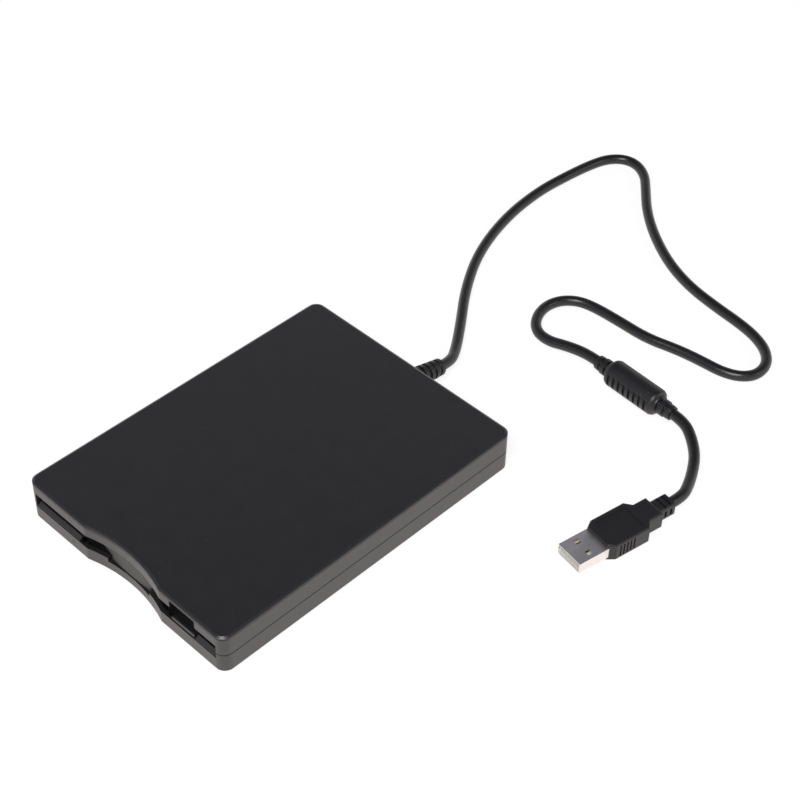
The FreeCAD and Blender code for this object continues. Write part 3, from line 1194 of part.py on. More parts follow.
def stepper():
    """Stepper motor with its bracket and the threaded shaft that moves the carriage."""
    bracket = new_body("stepper_bracket")
    low = "frame_floor"
    plate_y = "front + motor_front - bracket_sheet"
    block(bracket, "screw_x - bracket_half", "front + bracket_front", low,
          "screw_x + bracket_half", "front + motor_front", low + " + bracket_sheet")
    block(bracket, "screw_x - tab_half", "front + bracket_front", low, "screw_x + tab_half",
          "front + bracket_front + bracket_sheet", "tab_top")
    block(bracket, "screw_x - plate_half", plate_y, low, "screw_x + plate_half",
          "front + motor_front", "plate_top")
    holes = new_sketch(bracket, "XZ", "front + bracket_front - 1")
    circle(holes, "screw_x", "screw_height", "journal_radius + shaft_play")
    pocket(bracket, holes, "bracket_sheet + 2")
    boss_hole = new_sketch(bracket, "XZ", plate_y + " - 0.5")
    circle(boss_hole, "screw_x", "screw_height", "journal_radius + 1.1")
    pocket(bracket, boss_hole, "bracket_sheet + 1")

    motor = new_body("stepper_motor")
    cup = new_sketch(motor, "XY", "screw_height", ("screw_x", "front + motor_front", "0"))
    bore_radius = "journal_radius + shaft_play * 2"
    outline(cup, [
        (bore_radius, "-bracket_sheet"), ("journal_radius + 1", "-bracket_sheet"),
        ("journal_radius + 1", "0"), ("motor_radius", "0"),
        ("motor_radius", "motor_length / 2 - 0.3"), ("motor_radius - 0.4", "motor_length / 2 - 0.3"),
        ("motor_radius - 0.4", "motor_length / 2 + 0.3"), ("motor_radius", "motor_length / 2 + 0.3"),
        ("motor_radius", "motor_length"), ("0", "motor_length"), ("0", "4.4"),
        (bore_radius, "4.4")])
    revolve(motor, cup)

    start = value("front")
    radius = value("thread_radius")
    journal = value("journal_radius")
    first = start + value("thread_start")
    last = start + value("thread_end")
    shaft_front = start + value("bracket_front") - 0.2
    shaft_back = start + value("motor_front") + 4.0
    length = last - first
    thread = Part.makeCylinder(radius, length)
    pitch = value("thread_pitch")
    overrun = value("thread_groove")
    helix = Part.makeHelix(pitch, length + 2 * overrun, radius)
    section = Part.Wire(Part.makePolygon([
        Vector(radius - value("thread_depth"), 0, -value("thread_groove") * 0.8),
        Vector(radius + 0.2, 0, -value("thread_groove") * 1.3),
        Vector(radius + 0.2, 0, value("thread_groove") * 1.3),
        Vector(radius - value("thread_depth"), 0, value("thread_groove") * 0.8),
        Vector(radius - value("thread_depth"), 0, -value("thread_groove") * 0.8)]))
    groove = Part.Wire(helix).makePipeShell([section], True, True)
    # The groove faces straight down where the carriage's pin stands at rest.
    follower = start + value("follower_y")
    groove.translate(Vector(0, 0, -overrun))
    turn = 360 * (follower - first + overrun) / pitch
    groove.rotate(Vector(0, 0, 0), Vector(0, 0, 1), 90 - turn)
    thread = thread.cut(groove)
    lead_in = Part.makeCylinder(journal, first - shaft_front, Vector(0, 0, shaft_front - first))
    lead_out = Part.makeCylinder(journal, shaft_back - last, Vector(0, 0, length))
    screw = thread.fuse([lead_in, lead_out])
    place = Placement(Vector(value("screw_x"), first, value("screw_height")),
                      Rotation(Vector(1, 0, 0), -90))
    new_feature("lead_screw", screw, place)


def sensor_and_switches():
    """Track-zero light gate, and the two switches that read the disk's corner holes."""
    gate = new_body("track_zero_sensor")
    block(gate, "-vane_reach - 2", "front + vane_front - 0.6", "frame_floor",
          "-vane_reach + 4", "front + vane_front + vane_length + 0.6",
          "vane_low + vane_height + sensor_gap + sensor_arm")
    opening(gate, "-vane_reach - sensor_gap", "front + vane_front - 2",
            "vane_low - sensor_gap", "-vane_reach + 5",
            "front + vane_front + vane_length + 2", "vane_low + vane_height + sensor_gap")
    housings = new_body("switch_housings")
    spots = [("-switch_x", "front + switch_y"), ("switch_x", "front + switch_y")]
    for across, along in spots:
        block(housings, across + " - switch_half", along + " - switch_half", "frame_floor",
              across + " + switch_half", along + " + switch_half", "switch_top")
    bore(housings, spots, "plunger_radius + plunger_play", "frame_floor + 0.4",
         "switch_top + 1")
    for label, (across, along) in zip(("write_protect_plunger", "density_plunger"), spots):
        plunger = new_body(label)
        post(plunger, [(across, along)], "plunger_radius", "plunger_low", "plunger_top")
        soften(plunger, "Fillet", "plunger_radius / 2", level_at("top"))


def boards():
    """The drive's logic board, the USB bridge board and the ribbon between them."""
    logic = new_body("logic_board")
    block(logic, "-logic_left", "front + logic_front", "logic_height", "-logic_right",
          "front + logic_back", "logic_height + board_thickness")
    logic_top = "logic_height + board_thickness"
    chips = new_body("logic_chips")
    block(chips, "-logic_left + 4", "front + logic_front + 6", logic_top, "-logic_left + 14",
          "front + logic_front + 16", logic_top + " + 1.4")
    block(chips, "-logic_left + 3", "front + logic_front + 18.5", logic_top,
          "-logic_left + 8", "front + logic_front + 23", logic_top + " + 1.2")
    socket = new_body("ribbon_sockets")
    socket_low = "front + logic_back - 4.5"
    block(socket, "-ribbon_middle - ribbon_width / 2 - 1", socket_low, logic_top,
          "-ribbon_middle + ribbon_width / 2 + 1", socket_low + " + 3", logic_top + " + 2.2")
    bridge_face = "back - bridge_back - board_thickness"
    block(socket, "-ribbon_middle - ribbon_width / 2 - 1", bridge_face + " - 1.8",
          logic_top + " - 0.2", "-ribbon_middle + ribbon_width / 2 + 1", bridge_face,
          logic_top + " + 2.4")
    ribbon = new_body("ribbon_cable")
    block(ribbon, "-ribbon_middle - ribbon_width / 2", socket_low + " + 3",
          logic_top + " + 1", "-ribbon_middle + ribbon_width / 2", bridge_face + " - 1.8",
          logic_top + " + 1 + ribbon_thickness")
    bridge = new_body("bridge_board")
    block(bridge, "-bridge_left", bridge_face, "bridge_low", "-bridge_right",
          "back - bridge_back", "bridge_top")
    bridge_chips = new_body("bridge_chips")
    block(bridge_chips, "-bridge_left + 14", "back - bridge_back", "bridge_low + 2",
          "-bridge_left + 21", "back - bridge_back + 1.2", "bridge_low + 9")
    block(bridge_chips, "-bridge_left + 23", "back - bridge_back", "bridge_low + 4",
          "-bridge_left + 26", "back - bridge_back + 1.6", "bridge_low + 7")


def strain_relief():
    """Moulded rubber relief: held by the two shells at its neck, ringed and drooping outside."""
    body = new_body("strain_relief")
    neck = new_sketch(body, "YZ", "0", ("back", "seam_height", "-90 deg"))
    outline(neck, [
        ("0", "-wall - 0.1 - gland_flange_depth"),
        ("gland_flange", "-wall - 0.1 - gland_flange_depth"), ("gland_flange", "-wall - 0.1"),
        ("gland_neck", "-wall - 0.1"), ("gland_neck", "0.15"),
        ("relief_start", "0.15"), ("relief_start", "relief_collar"), ("0", "relief_collar")])
    revolve(body, neck)
    sleeve = new_sketch(body, "YZ", "0", ("back", "seam_height", "(-90 - relief_droop) * 1 deg"))
    rings = int(value("relief_rings"))
    share = "(relief_length - relief_collar) / relief_rings"
    points = [("0", "0.3")]
    for ring in range(rings):
        radius = "relief_start + (relief_end - relief_start) * %d / relief_rings" % (ring + 1)
        near = "relief_collar + %s * (%d + 0.42)" % (share, ring)
        far = "relief_collar + %s * %d" % (share, ring + 1)
        before = "0.3" if ring == 0 else "relief_collar + %s * %d" % (share, ring)
        points += [("relief_core", before), ("relief_core", near), (radius, near), (radius, far)]
    points.append(("0", "relief_length"))
    outline(sleeve, points)
    revolve(body, sleeve)
    return body


def ferrite_sleeve():
    """Moulded sleeve over the cord's ferrite core: ribbed sides and a ringed relief each end."""
    body = new_body("ferrite_sleeve")
    half = "ferrite_length / 2"
    profile = new_sketch(body, "XY", "0")
    points = [("-%s - ferrite_end" % half, "0")]
    right = []
    for side in ("-", ""):
        steps = [("%s(%s + ferrite_end)" % (side, half), "ferrite_tip_radius"),
                 ("%s(%s + ferrite_end * 0.72)" % (side, half), "ferrite_tip_radius + 0.15"),
                 ("%s(%s + ferrite_end * 0.72)" % (side, half), "cord_diameter / 2 + 0.2"),
                 ("%s(%s + ferrite_end * 0.55)" % (side, half), "cord_diameter / 2 + 0.2"),
                 ("%s(%s + ferrite_end * 0.55)" % (side, half), "ferrite_end_radius"),
                 ("%s(%s + ferrite_end * 0.27)" % (side, half), "ferrite_end_radius"),
                 ("%s(%s + ferrite_end * 0.27)" % (side, half), "cord_diameter / 2 + 0.2"),
                 ("%s(%s + ferrite_end * 0.1)" % (side, half), "cord_diameter / 2 + 0.2"),
                 ("%s(%s + ferrite_end * 0.1)" % (side, half), "ferrite_end_radius + 0.4"),
                 ("%s(%s)" % (side, half), "ferrite_end_radius + 0.7"),
                 ("%s(%s)" % (side, half), "ferrite_radius - ferrite_round"),
                 ("%s(%s - ferrite_round * 0.3)" % (side, half), "ferrite_radius - ferrite_round * 0.3"),
                 ("%s(%s - ferrite_round)" % (side, half), "ferrite_radius")]
        if side == "-":
            points += steps
        else:
            right = steps
    points += list(reversed(right))
    points.append(("%s + ferrite_end" % half, "0"))
    outline(profile, points)
    revolve(body, profile, axis="H_Axis")
    for toward in (-1, 1):
        sketch = new_sketch(body, "XZ", "%d * (ferrite_radius - ferrite_rib_depth)" % toward)
        for number in range(-4, 4):
            middle = "ferrite_rib_pitch * (%d + 0.5)" % number
            rectangle(sketch, middle + " - ferrite_rib_cut / 2", "-ferrite_rib_height / 2",
                      middle + " + ferrite_rib_cut / 2", "ferrite_rib_height / 2")
        pocket(body, sketch, "2 * ferrite_rib_depth", toward)
    place_on_cord(body, "ferrite")
    return body


def place_on_cord(body, name):
    """Lay a piece of the cord on the table where the photograph shows it."""
    body.setExpression("Placement.Base.x", bound(name + "_x"))
    body.setExpression("Placement.Base.y", bound(name + "_y"))
    body.setExpression("Placement.Base.z", bound(name + "_height"))
    body.setExpression("Placement.Rotation.Angle", bound(name + "_turn * 1 deg"))


def plug():
    """USB type A plug: moulded grip with a slotted relief, folded steel shell and contacts."""
    grip = new_body("plug_grip")
    sketch = new_sketch(grip, "XY", "-plug_thickness / 2")
    right = [("plug_nose", "0"), ("plug_half", "plug_nose_depth"),
             ("plug_half", "plug_shoulder"), ("plug_back_half", "plug_waist"),
             ("plug_back_half", "plug_back")]
    left = [("-" + across, along) for across, along in reversed(right)]
    outline(sketch, right + left)
    pad(grip, sketch, "plug_thickness")

    def rim(edge, shape):
        box, whole = edge.BoundBox, shape.BoundBox
        flat = box.ZLength < 0.001
        at_face = abs(box.ZMax - whole.ZMax) < 0.001 or abs(box.ZMin - whole.ZMin) < 0.001
        return flat and at_face

    soften(grip, "Fillet", "plug_edge", rim)
    relief = new_sketch(grip, "XZ", "plug_back - 0.5")
    rectangle(relief, "-plug_relief_half", "-plug_relief_thickness / 2", "plug_relief_half",
              "plug_relief_thickness / 2")
    pad(grip, relief, "plug_relief_end - plug_back + 0.5")

    def relief_edge(edge, shape):
        box = edge.BoundBox
        return box.YMin > value("plug_back") - 0.01 and box.YLength > 3

    soften(grip, "Fillet", "plug_edge * 1.2", relief_edge)
    for number in range(2):
        near = "plug_relief_end - plug_slot_pitch * %d - 1.4 - plug_slot" % number
        for low in ("cord_diameter / 2 + 0.1", "-cord_diameter / 2 - 2.1"):
            opening(grip, "-plug_relief_half + 0.5", near, low, "plug_relief_half - 0.5",
                    near + " + plug_slot", low + " + 2")
        for left in ("cord_diameter / 2 + 0.25", "-cord_diameter / 2 - 2.25"):
            opening(grip, left, near, "-cord_diameter / 3", left + " + 2",
                    near + " + plug_slot", "cord_diameter / 3")
    for toward in (-1, 1):
        panel = new_sketch(grip, "XY", "%d * (plug_thickness / 2 - panel_depth)" % toward)
        rectangle(panel, "-plug_half + panel_inset", "plug_nose_depth",
                  "plug_half - panel_inset", "plug_shoulder - panel_inset / 2")
        pocket(grip, panel, "plug_thickness / 2", toward)
    for toward in (-1, 1):
        sketch = new_sketch(grip, "YZ", "%d * (plug_half - grip_depth)" % toward)
        for number in range(5):
            near = "grip_start + grip_pitch * %d" % number
            rectangle(sketch, near, "-plug_thickness / 2 + 1.4", near + " + grip_width",
                      "plug_thickness / 2 - 1.4")
        pocket(grip, sketch, "2 * grip_depth", toward)
    socket = new_sketch(grip, "XZ", "-1")
    rectangle(socket, "-shell_width / 2 - shell_play", "-shell_height / 2 - shell_play",
              "shell_width / 2 + shell_play", "shell_height / 2 + shell_play")
    pocket(grip, socket, "shell_sunk + shell_play + 1")
    place_on_cord(grip, "plug")

    shell = new_body("plug_shell")
    tube = new_sketch(shell, "XZ", "-shell_reach")
    for inset in ("0", "shell_sheet"):
        rectangle(tube, "-shell_width / 2 + " + inset, "-shell_height / 2 + " + inset,
                  "shell_width / 2 - " + inset, "shell_height / 2 - " + inset)
    pad(shell, tube, "shell_reach + shell_sunk")
    windows = new_sketch(shell, "XY", "-shell_height / 2 - 1")
    for side in ("-", ""):
        middle = side + "window_pitch / 2"
        rectangle(windows, middle + " - window_size / 2", "-shell_reach + window_from",
                  middle + " + window_size / 2", "-shell_reach + window_from + window_size")
    pocket(shell, windows, "shell_height + 2")
    place_on_cord(shell, "plug")

    tongue = new_body("plug_tongue")
    low = "-shell_height / 2 + shell_sheet"
    block(tongue, "-shell_width / 2 + shell_sheet", "-shell_reach + tongue_short", low,
          "shell_width / 2 - shell_sheet", "shell_sunk", low + " + tongue_plate")
    place_on_cord(tongue, "plug")

    contacts = new_body("plug_contacts")
    top = low + " + tongue_plate"
    lanes = (("-contact_pitch * 1.6", "contact_long"), ("-contact_inner", "contact_short"),
             ("contact_inner", "contact_short"), ("contact_pitch * 1.6", "contact_long"))
    for middle, length in lanes:
        far = "-shell_reach + tongue_short + 1.1"
        block(contacts, middle + " - contact_width / 2", far, top,
              middle + " + contact_width / 2", far + " + " + length, top + " + contact_sheet")
    place_on_cord(contacts, "plug")


# The cord's route on the table, chosen by hand along the one in the photograph.
CORD_TO_FERRITE = [
    (-2.6, 101.4, 3.0), (-13.0, 115.8, 2.4),
    (-27.8, 134.0, 2.4), (-41.0, 156.0, 2.4), (-50.6, 182.0, 2.4), (-53.8, 206.0, 2.4),
    (-52.6, 224.5, 2.4), (-50.6, 239.0, 2.4), (-47.4, 247.6, 2.4), (-41.2, 253.2, 2.4),
    (-33.0, 254.2, 2.4), (-25.6, 250.2, 2.4), (-19.2, 243.0, 2.4), (-9.0, 230.6, 2.4),
    (3.6, 219.0, 2.4), (20.0, 208.3, 2.4), (36.0, 202.2, 2.4), (52.0, 199.6, 2.4),
    (65.6, 198.2, 2.4), (75.6, 195.8, 2.4), (83.7, 191.7, 2.4), (89.3, 185.3, 2.4),
    (90.4, 177.2, 2.4), (86.6, 170.4, 2.4), (79.6, 167.2, 2.4), (70.5, 166.8, 2.4),
    (58.0, 165.9, 2.4), (44.0, 162.8, 2.4), (29.0, 163.2, 2.4), (17.0, 162.9, 2.4),
    (8.8, 160.4, 2.4), (3.2, 154.9, 2.4), (1.4, 147.2, 2.4), (4.0, 139.8, 2.4),
    (9.8, 134.6, 2.5), (17.4, 133.4, 3.0), (25.6, 134.6, 4.6)]
CORD_TO_PLUG = [
    (94.2, 129.0, 4.2), (100.4, 123.5, 3.0), (104.9, 115.9, 2.6), (108.3, 108.3, 3.2)]


def end_of(name, across, along):
    """A point on a piece of the cord, from its own axes to the table's."""
    spot = Vector(value(name + "_x"), value(name + "_y"), value(name + "_height"))
    turn = Rotation(Vector(0, 0, 1), value(name + "_turn"))
    return spot + turn.multVec(Vector(across, along, 0))


def cord():
    """The two free stretches of the cord, each a plain tube along its route."""
    reach = value("ferrite_length") / 2 + value("ferrite_end")
    droop = math.radians(value("relief_droop"))
    exit_point = Vector(0, value("back"), value("seam_height"))
    along_relief = Vector(0, math.cos(droop), -math.sin(droop))
    lead = value("cord_lead")
    first = [exit_point + along_relief * value("relief_length"),
             exit_point + along_relief * (value("relief_length") + lead)]
    first += [Vector(*point) for point in CORD_TO_FERRITE]
    first += [end_of("ferrite", -reach - lead, 0), end_of("ferrite", -reach, 0)]
    second = [end_of("ferrite", reach, 0), end_of("ferrite", reach + lead, 0)]
    second += [Vector(*point) for point in CORD_TO_PLUG]
    second += [end_of("plug", 0, value("plug_relief_end") + lead),
               end_of("plug", 0, value("plug_relief_end"))]
    radius = value("cord_diameter") / 2
    for label, points in (("cord_to_ferrite", first), ("cord_to_plug", second)):
        solid, radii, length = tube_along(points, radius)
        new_feature(label, solid)
        ratio = solid.Volume / (math.pi * radius ** 2 * length)
        tightest = min(radii) / (2 * radius)
        print("%s: length %.1f, volume ratio %.4f, tightest bend %.1f mm, %.2f diameters"
              % (label, length, ratio, min(radii), tightest))
        print("  bend radii " + " ".join("%.1f" % bend for bend in radii))


top_shell()
bottom_shell()
rubber_feet()
case_screws()
light_pipe()
front_bezel()
dust_flap()
flap_spring()
eject_button()
slider_plate()
drive_frame()
frame_screws()
frame_cover()
disk_carrier()
shutter_lever()
spindle()
head_carriage()
heads()
guide_rods()
stepper()
sensor_and_switches()
boards()
strain_relief()
ferrite_sleeve()
plug()
cord()

doc.recompute()
for item in doc.Objects:
    if "Invalid" in item.State or "Error" in item.State:
        raise RuntimeError("%s failed: %s" % (item.Label, item.getStatusString()))
for feature, before in cuts:
    if feature.Shape.Volume > before.Shape.Volume - 1e-6:
        raise RuntimeError(feature.Label + " cuts nothing")
os.makedirs("parts", exist_ok=True)
for piece in pieces:
    shape = piece.Shape
    if shape.isNull() or not shape.isValid() or not shape.Solids:
        raise RuntimeError(piece.Label + " is not a valid solid")
    shape.exportStep(os.path.join("parts", piece.Label + ".step"))
print("%d pieces" % len(pieces))
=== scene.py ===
"""Looks of the external floppy disk drive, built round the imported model. Metres, +Z up."""

import bpy
import bmesh
import math
from mathutils import Matrix, Vector


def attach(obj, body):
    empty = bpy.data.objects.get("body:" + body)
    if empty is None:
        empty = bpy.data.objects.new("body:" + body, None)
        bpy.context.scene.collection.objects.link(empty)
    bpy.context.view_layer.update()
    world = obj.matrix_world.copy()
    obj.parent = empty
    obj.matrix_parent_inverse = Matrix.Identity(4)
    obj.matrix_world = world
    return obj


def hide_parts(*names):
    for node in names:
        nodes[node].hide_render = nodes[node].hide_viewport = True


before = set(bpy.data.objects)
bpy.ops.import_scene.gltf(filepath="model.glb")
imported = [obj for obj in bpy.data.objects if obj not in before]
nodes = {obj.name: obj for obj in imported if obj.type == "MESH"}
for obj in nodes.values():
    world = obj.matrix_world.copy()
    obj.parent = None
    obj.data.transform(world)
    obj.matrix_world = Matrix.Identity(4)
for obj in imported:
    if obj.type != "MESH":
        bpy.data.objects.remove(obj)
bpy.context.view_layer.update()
MM = 0.001


# Camera, at the photograph's viewing angle. It was fitted to the corners of the case, so it is
# given by its direction from the drive, its distance, its roll and how far the drive lies
# from the middle of the frame.
VIEW_AZIMUTH = math.radians(43.73)
VIEW_ELEVATION = math.radians(43.09)
VIEW_ROLL = math.radians(1.353)
VIEW_DISTANCE = 660.02 * MM
ASIDE = 45.91 * MM
UPWARD = 26.37 * MM
LOOKED_AT = Vector((0, 0, 9 * MM))
FOCAL_PIXELS = 1802.5
FRAME_PIXELS = 800

backward = Vector((math.sin(VIEW_AZIMUTH) * math.cos(VIEW_ELEVATION),
                   -math.cos(VIEW_AZIMUTH) * math.cos(VIEW_ELEVATION),
                   math.sin(VIEW_ELEVATION)))
level = Vector((math.cos(VIEW_AZIMUTH), math.sin(VIEW_AZIMUTH), 0))
upright = backward.cross(level)
right = level * math.cos(VIEW_ROLL) + upright * math.sin(VIEW_ROLL)
up = upright * math.cos(VIEW_ROLL) - level * math.sin(VIEW_ROLL)
camera_data = bpy.data.cameras.new("camera")
camera_data.sensor_width = 36.0
camera_data.lens = FOCAL_PIXELS * camera_data.sensor_width / FRAME_PIXELS
camera_data.clip_start = 0.01
camera = bpy.data.objects.new("camera", camera_data)
bpy.context.collection.objects.link(camera)
turned = Matrix((right, up, backward)).transposed().to_4x4()
place = LOOKED_AT + backward * VIEW_DISTANCE + right * ASIDE + up * UPWARD
camera.matrix_world = Matrix.Translation(place) @ turned
bpy.context.scene.camera = camera
bpy.context.scene.view_settings.view_transform = "Standard"


# Studio: white paper that fills the picture and still takes the drive's soft shadow, a pale
# horizon and a dim ceiling, so that the walls mirror the bright table and the lid stays dark,
# and two soft lamps overhead.
TABLE_SIZE = 6.0
PAPER_GLOW = 0.84
PAPER_COLOUR = (0.25, 0.25, 0.25, 1)
WARM_PAPER = (1.0, 0.93, 0.9, 1)
SKY_STOPS = ((0.0, (1.0, 0.97, 0.94, 1)), (0.1, (1.0, 0.97, 0.94, 1)),
             (0.38, (0.5, 0.5, 0.54, 1)), (0.6, (0.2, 0.202, 0.25, 1)),
             (0.74, (0.04, 0.041, 0.058, 1)), (1.0, (0.02, 0.02, 0.03, 1)))


def add_node(tree, kind, **settings):
    """A shader node with plain values set on its inputs by name."""
    node = tree.nodes.new(kind)
    for name, setting in settings.items():
        node.inputs[name.replace("_", " ")].default_value = setting
    return node


def new_material(name):
    """A material with its tree and shader, ready to be wired."""
    material = bpy.data.materials.new(name)
    material.use_nodes = True
    tree = material.node_tree
    shader = next(node for node in tree.nodes if node.type == "BSDF_PRINCIPLED")
    return material, tree, shader


def maths(tree, operation, first, second):
    """A maths node between two sockets or numbers."""
    node = tree.nodes.new("ShaderNodeMath")
    node.operation = operation
    for slot, entry in enumerate((first, second)):
        if isinstance(entry, (int, float)):
            node.inputs[slot].default_value = entry
        else:
            tree.links.new(entry, node.inputs[slot])
    return node.outputs[0]


def seen_plainly(tree):
    """A factor that is 1 for what the camera sees straight, in a reflection or through glass."""
    paths = tree.nodes.new("ShaderNodeLightPath").outputs
    direct = maths(tree, "MAXIMUM", paths["Is Camera Ray"], paths["Is Glossy Ray"])
    return maths(tree, "MAXIMUM", direct, paths["Is Transmission Ray"])


bpy.ops.mesh.primitive_plane_add(size=TABLE_SIZE, location=(0, 0, 0))
table = bpy.context.object
table.name = "table"
paper, tree, shader = new_material("table_paper")
shader.inputs["Base Color"].default_value = PAPER_COLOUR
shader.inputs["Roughness"].default_value = 1.0
shader.inputs["Specular IOR Level"].default_value = 0.0
glow = tree.nodes.new("ShaderNodeEmission")
cast = tree.nodes.new("ShaderNodeMix")
cast.data_type = "RGBA"
cast.inputs["A"].default_value = (1, 1, 1, 1)
cast.inputs["B"].default_value = WARM_PAPER
mirrored = tree.nodes.new("ShaderNodeLightPath")
tree.links.new(mirrored.outputs["Is Glossy Ray"], cast.inputs["Factor"])
tree.links.new(cast.outputs["Result"], glow.inputs["Color"])
strength = maths(tree, "MULTIPLY", seen_plainly(tree), PAPER_GLOW)
tree.links.new(strength, glow.inputs["Strength"])
both = tree.nodes.new("ShaderNodeAddShader")
output = next(node for node in tree.nodes if node.type == "OUTPUT_MATERIAL")
tree.links.new(shader.outputs[0], both.inputs[0])
tree.links.new(glow.outputs[0], both.inputs[1])
tree.links.new(both.outputs[0], output.inputs["Surface"])
table.data.materials.append(paper)

world = bpy.data.worlds.new("studio")
bpy.context.scene.world = world
world.use_nodes = True
tree = world.node_tree
sky = next(node for node in tree.nodes if node.type == "BACKGROUND")
output = next(node for node in tree.nodes if node.type == "OUTPUT_WORLD")
direction = tree.nodes.new("ShaderNodeTexCoord")
parts = tree.nodes.new("ShaderNodeSeparateXYZ")
shade = tree.nodes.new("ShaderNodeValToRGB")
shade.color_ramp.elements[0].color = SKY_STOPS[0][1]
shade.color_ramp.elements[1].color = SKY_STOPS[-1][1]
for height, colour in SKY_STOPS[1:-1]:
    shade.color_ramp.elements.new(height).color = colour
tree.links.new(direction.outputs["Generated"], parts.inputs[0])
tree.links.new(parts.outputs["Z"], shade.inputs["Fac"])
tree.links.new(shade.outputs["Color"], sky.inputs["Color"])
white = add_node(tree, "ShaderNodeBackground", Color=(1, 1, 1, 1), Strength=1.0)
choice = tree.nodes.new("ShaderNodeMixShader")
paths = tree.nodes.new("ShaderNodeLightPath").outputs
straight = maths(tree, "MAXIMUM", paths["Is Camera Ray"], paths["Is Transmission Ray"])
tree.links.new(straight, choice.inputs[0])
tree.links.new(sky.outputs[0], choice.inputs[1])
tree.links.new(white.outputs[0], choice.inputs[2])
tree.links.new(choice.outputs[0], output.inputs["Surface"])


def soft_lamp(name, place, size, power):
    """A square soft lamp that faces the drive."""
    data = bpy.data.lights.new(name, "AREA")
    data.size = size
    data.energy = power
    lamp = bpy.data.objects.new(name, data)
    lamp.location = place
    lamp.rotation_euler = (-Vector(place)).to_track_quat("-Z", "Y").to_euler()
    bpy.context.collection.objects.link(lamp)


soft_lamp("overhead_lamp", place=(0.55, -0.95, 1.6), size=0.9, power=26)
soft_lamp("side_lamp", place=(1.5, 0.9, 1.1), size=0.7, power=3)


# Case: two shells of black ABS, moulded in tools with a fine spark-eroded texture. The lid has
# a bevelled rim over a shadow groove, and the edges of both are softened by the tool.
CASE_EDGE = 0.14 * MM
CASE_GRAIN = 5200
HARD_EDGE = math.radians(28)
FLAT_ANGLE = math.radians(0.4)
MERGE = 0.002 * MM


def shader_group(name, inputs, outputs):
    """An empty node group with named sockets."""
    group = bpy.data.node_groups.new(name, "ShaderNodeTree")
    for socket, kind in inputs:
        group.interface.new_socket(socket, in_out="INPUT", socket_type="NodeSocket" + kind)
    for socket, kind in outputs:
        group.interface.new_socket(socket, in_out="OUTPUT", socket_type="NodeSocket" + kind)
    return group, group.nodes.new("NodeGroupInput"), group.nodes.new("NodeGroupOutput")


# Grain that every moulded, plated and lacquered surface has: a fine texture for the bump, and
# a broad unevenness that shifts colour and gloss a little.
BROAD_SHARE = 0.03
grain, start, end = shader_group(
    "surface_grain",
    [("Vector", "Vector"), ("Scale", "Float"), ("Colour", "Color"), ("Shift", "Float"),
     ("Roughness", "Float"), ("Spread", "Float")],
    [("Colour", "Color"), ("Roughness", "Float"), ("Height", "Float")])
fine = add_node(grain, "ShaderNodeTexNoise", Detail=3.0, Roughness=0.6)
broad = add_node(grain, "ShaderNodeTexNoise", Detail=4.0, Roughness=0.55)
grain.links.new(start.outputs["Vector"], fine.inputs["Vector"])
grain.links.new(start.outputs["Scale"], fine.inputs["Scale"])
grain.links.new(start.outputs["Vector"], broad.inputs["Vector"])
grain.links.new(maths(grain, "MULTIPLY", start.outputs["Scale"], BROAD_SHARE), broad.inputs["Scale"])
swing = maths(grain, "SUBTRACT", broad.outputs["Fac"], 0.5)
mottle = maths(grain, "MULTIPLY", swing, start.outputs["Shift"])
lift = maths(grain, "ADD", mottle, 1.0)
tint = grain.nodes.new("ShaderNodeVectorMath")
tint.operation = "SCALE"
grain.links.new(start.outputs["Colour"], tint.inputs[0])
grain.links.new(lift, tint.inputs["Scale"])
grain.links.new(tint.outputs[0], end.inputs["Colour"])
gloss = maths(grain, "MULTIPLY", swing, start.outputs["Spread"])
speckle = maths(grain, "MULTIPLY", maths(grain, "SUBTRACT", fine.outputs["Fac"], 0.5),
                start.outputs["Spread"])
grain.links.new(maths(grain, "ADD", maths(grain, "ADD", gloss, speckle),
                      start.outputs["Roughness"]), end.inputs["Roughness"])
grain.links.new(fine.outputs["Fac"], end.inputs["Height"])

# Dust: sparse pale specks, in patches, on the black plastics, rubber and vinyl.
SPECK_REACH = 0.07
DUSTY_ABOVE = 0.56
DUST_COLOUR = (0.22, 0.21, 0.2, 1)
dusting, start, end = shader_group(
    "dust_specks", [("Vector", "Vector"), ("Colour", "Color"), ("Amount", "Float")],
    [("Colour", "Color")])
specks = add_node(dusting, "ShaderNodeTexVoronoi", Scale=420.0, Randomness=1.0)
smears = add_node(dusting, "ShaderNodeTexNoise", Scale=55.0, Detail=5.0, Distortion=0.6)
for texture in (specks, smears):
    dusting.links.new(start.outputs["Vector"], texture.inputs["Vector"])
dot = maths(dusting, "LESS_THAN", specks.outputs["Distance"], SPECK_REACH)
patch = maths(dusting, "GREATER_THAN", smears.outputs["Fac"], DUSTY_ABOVE)
mask = maths(dusting, "MULTIPLY", maths(dusting, "MULTIPLY", dot, patch), start.outputs["Amount"])
mix = dusting.nodes.new("ShaderNodeMix")
mix.data_type = "RGBA"
mix.inputs["B"].default_value = DUST_COLOUR
dusting.links.new(mask, mix.inputs["Factor"])
dusting.links.new(start.outputs["Colour"], mix.inputs["A"])
dusting.links.new(mix.outputs["Result"], end.inputs["Colour"])


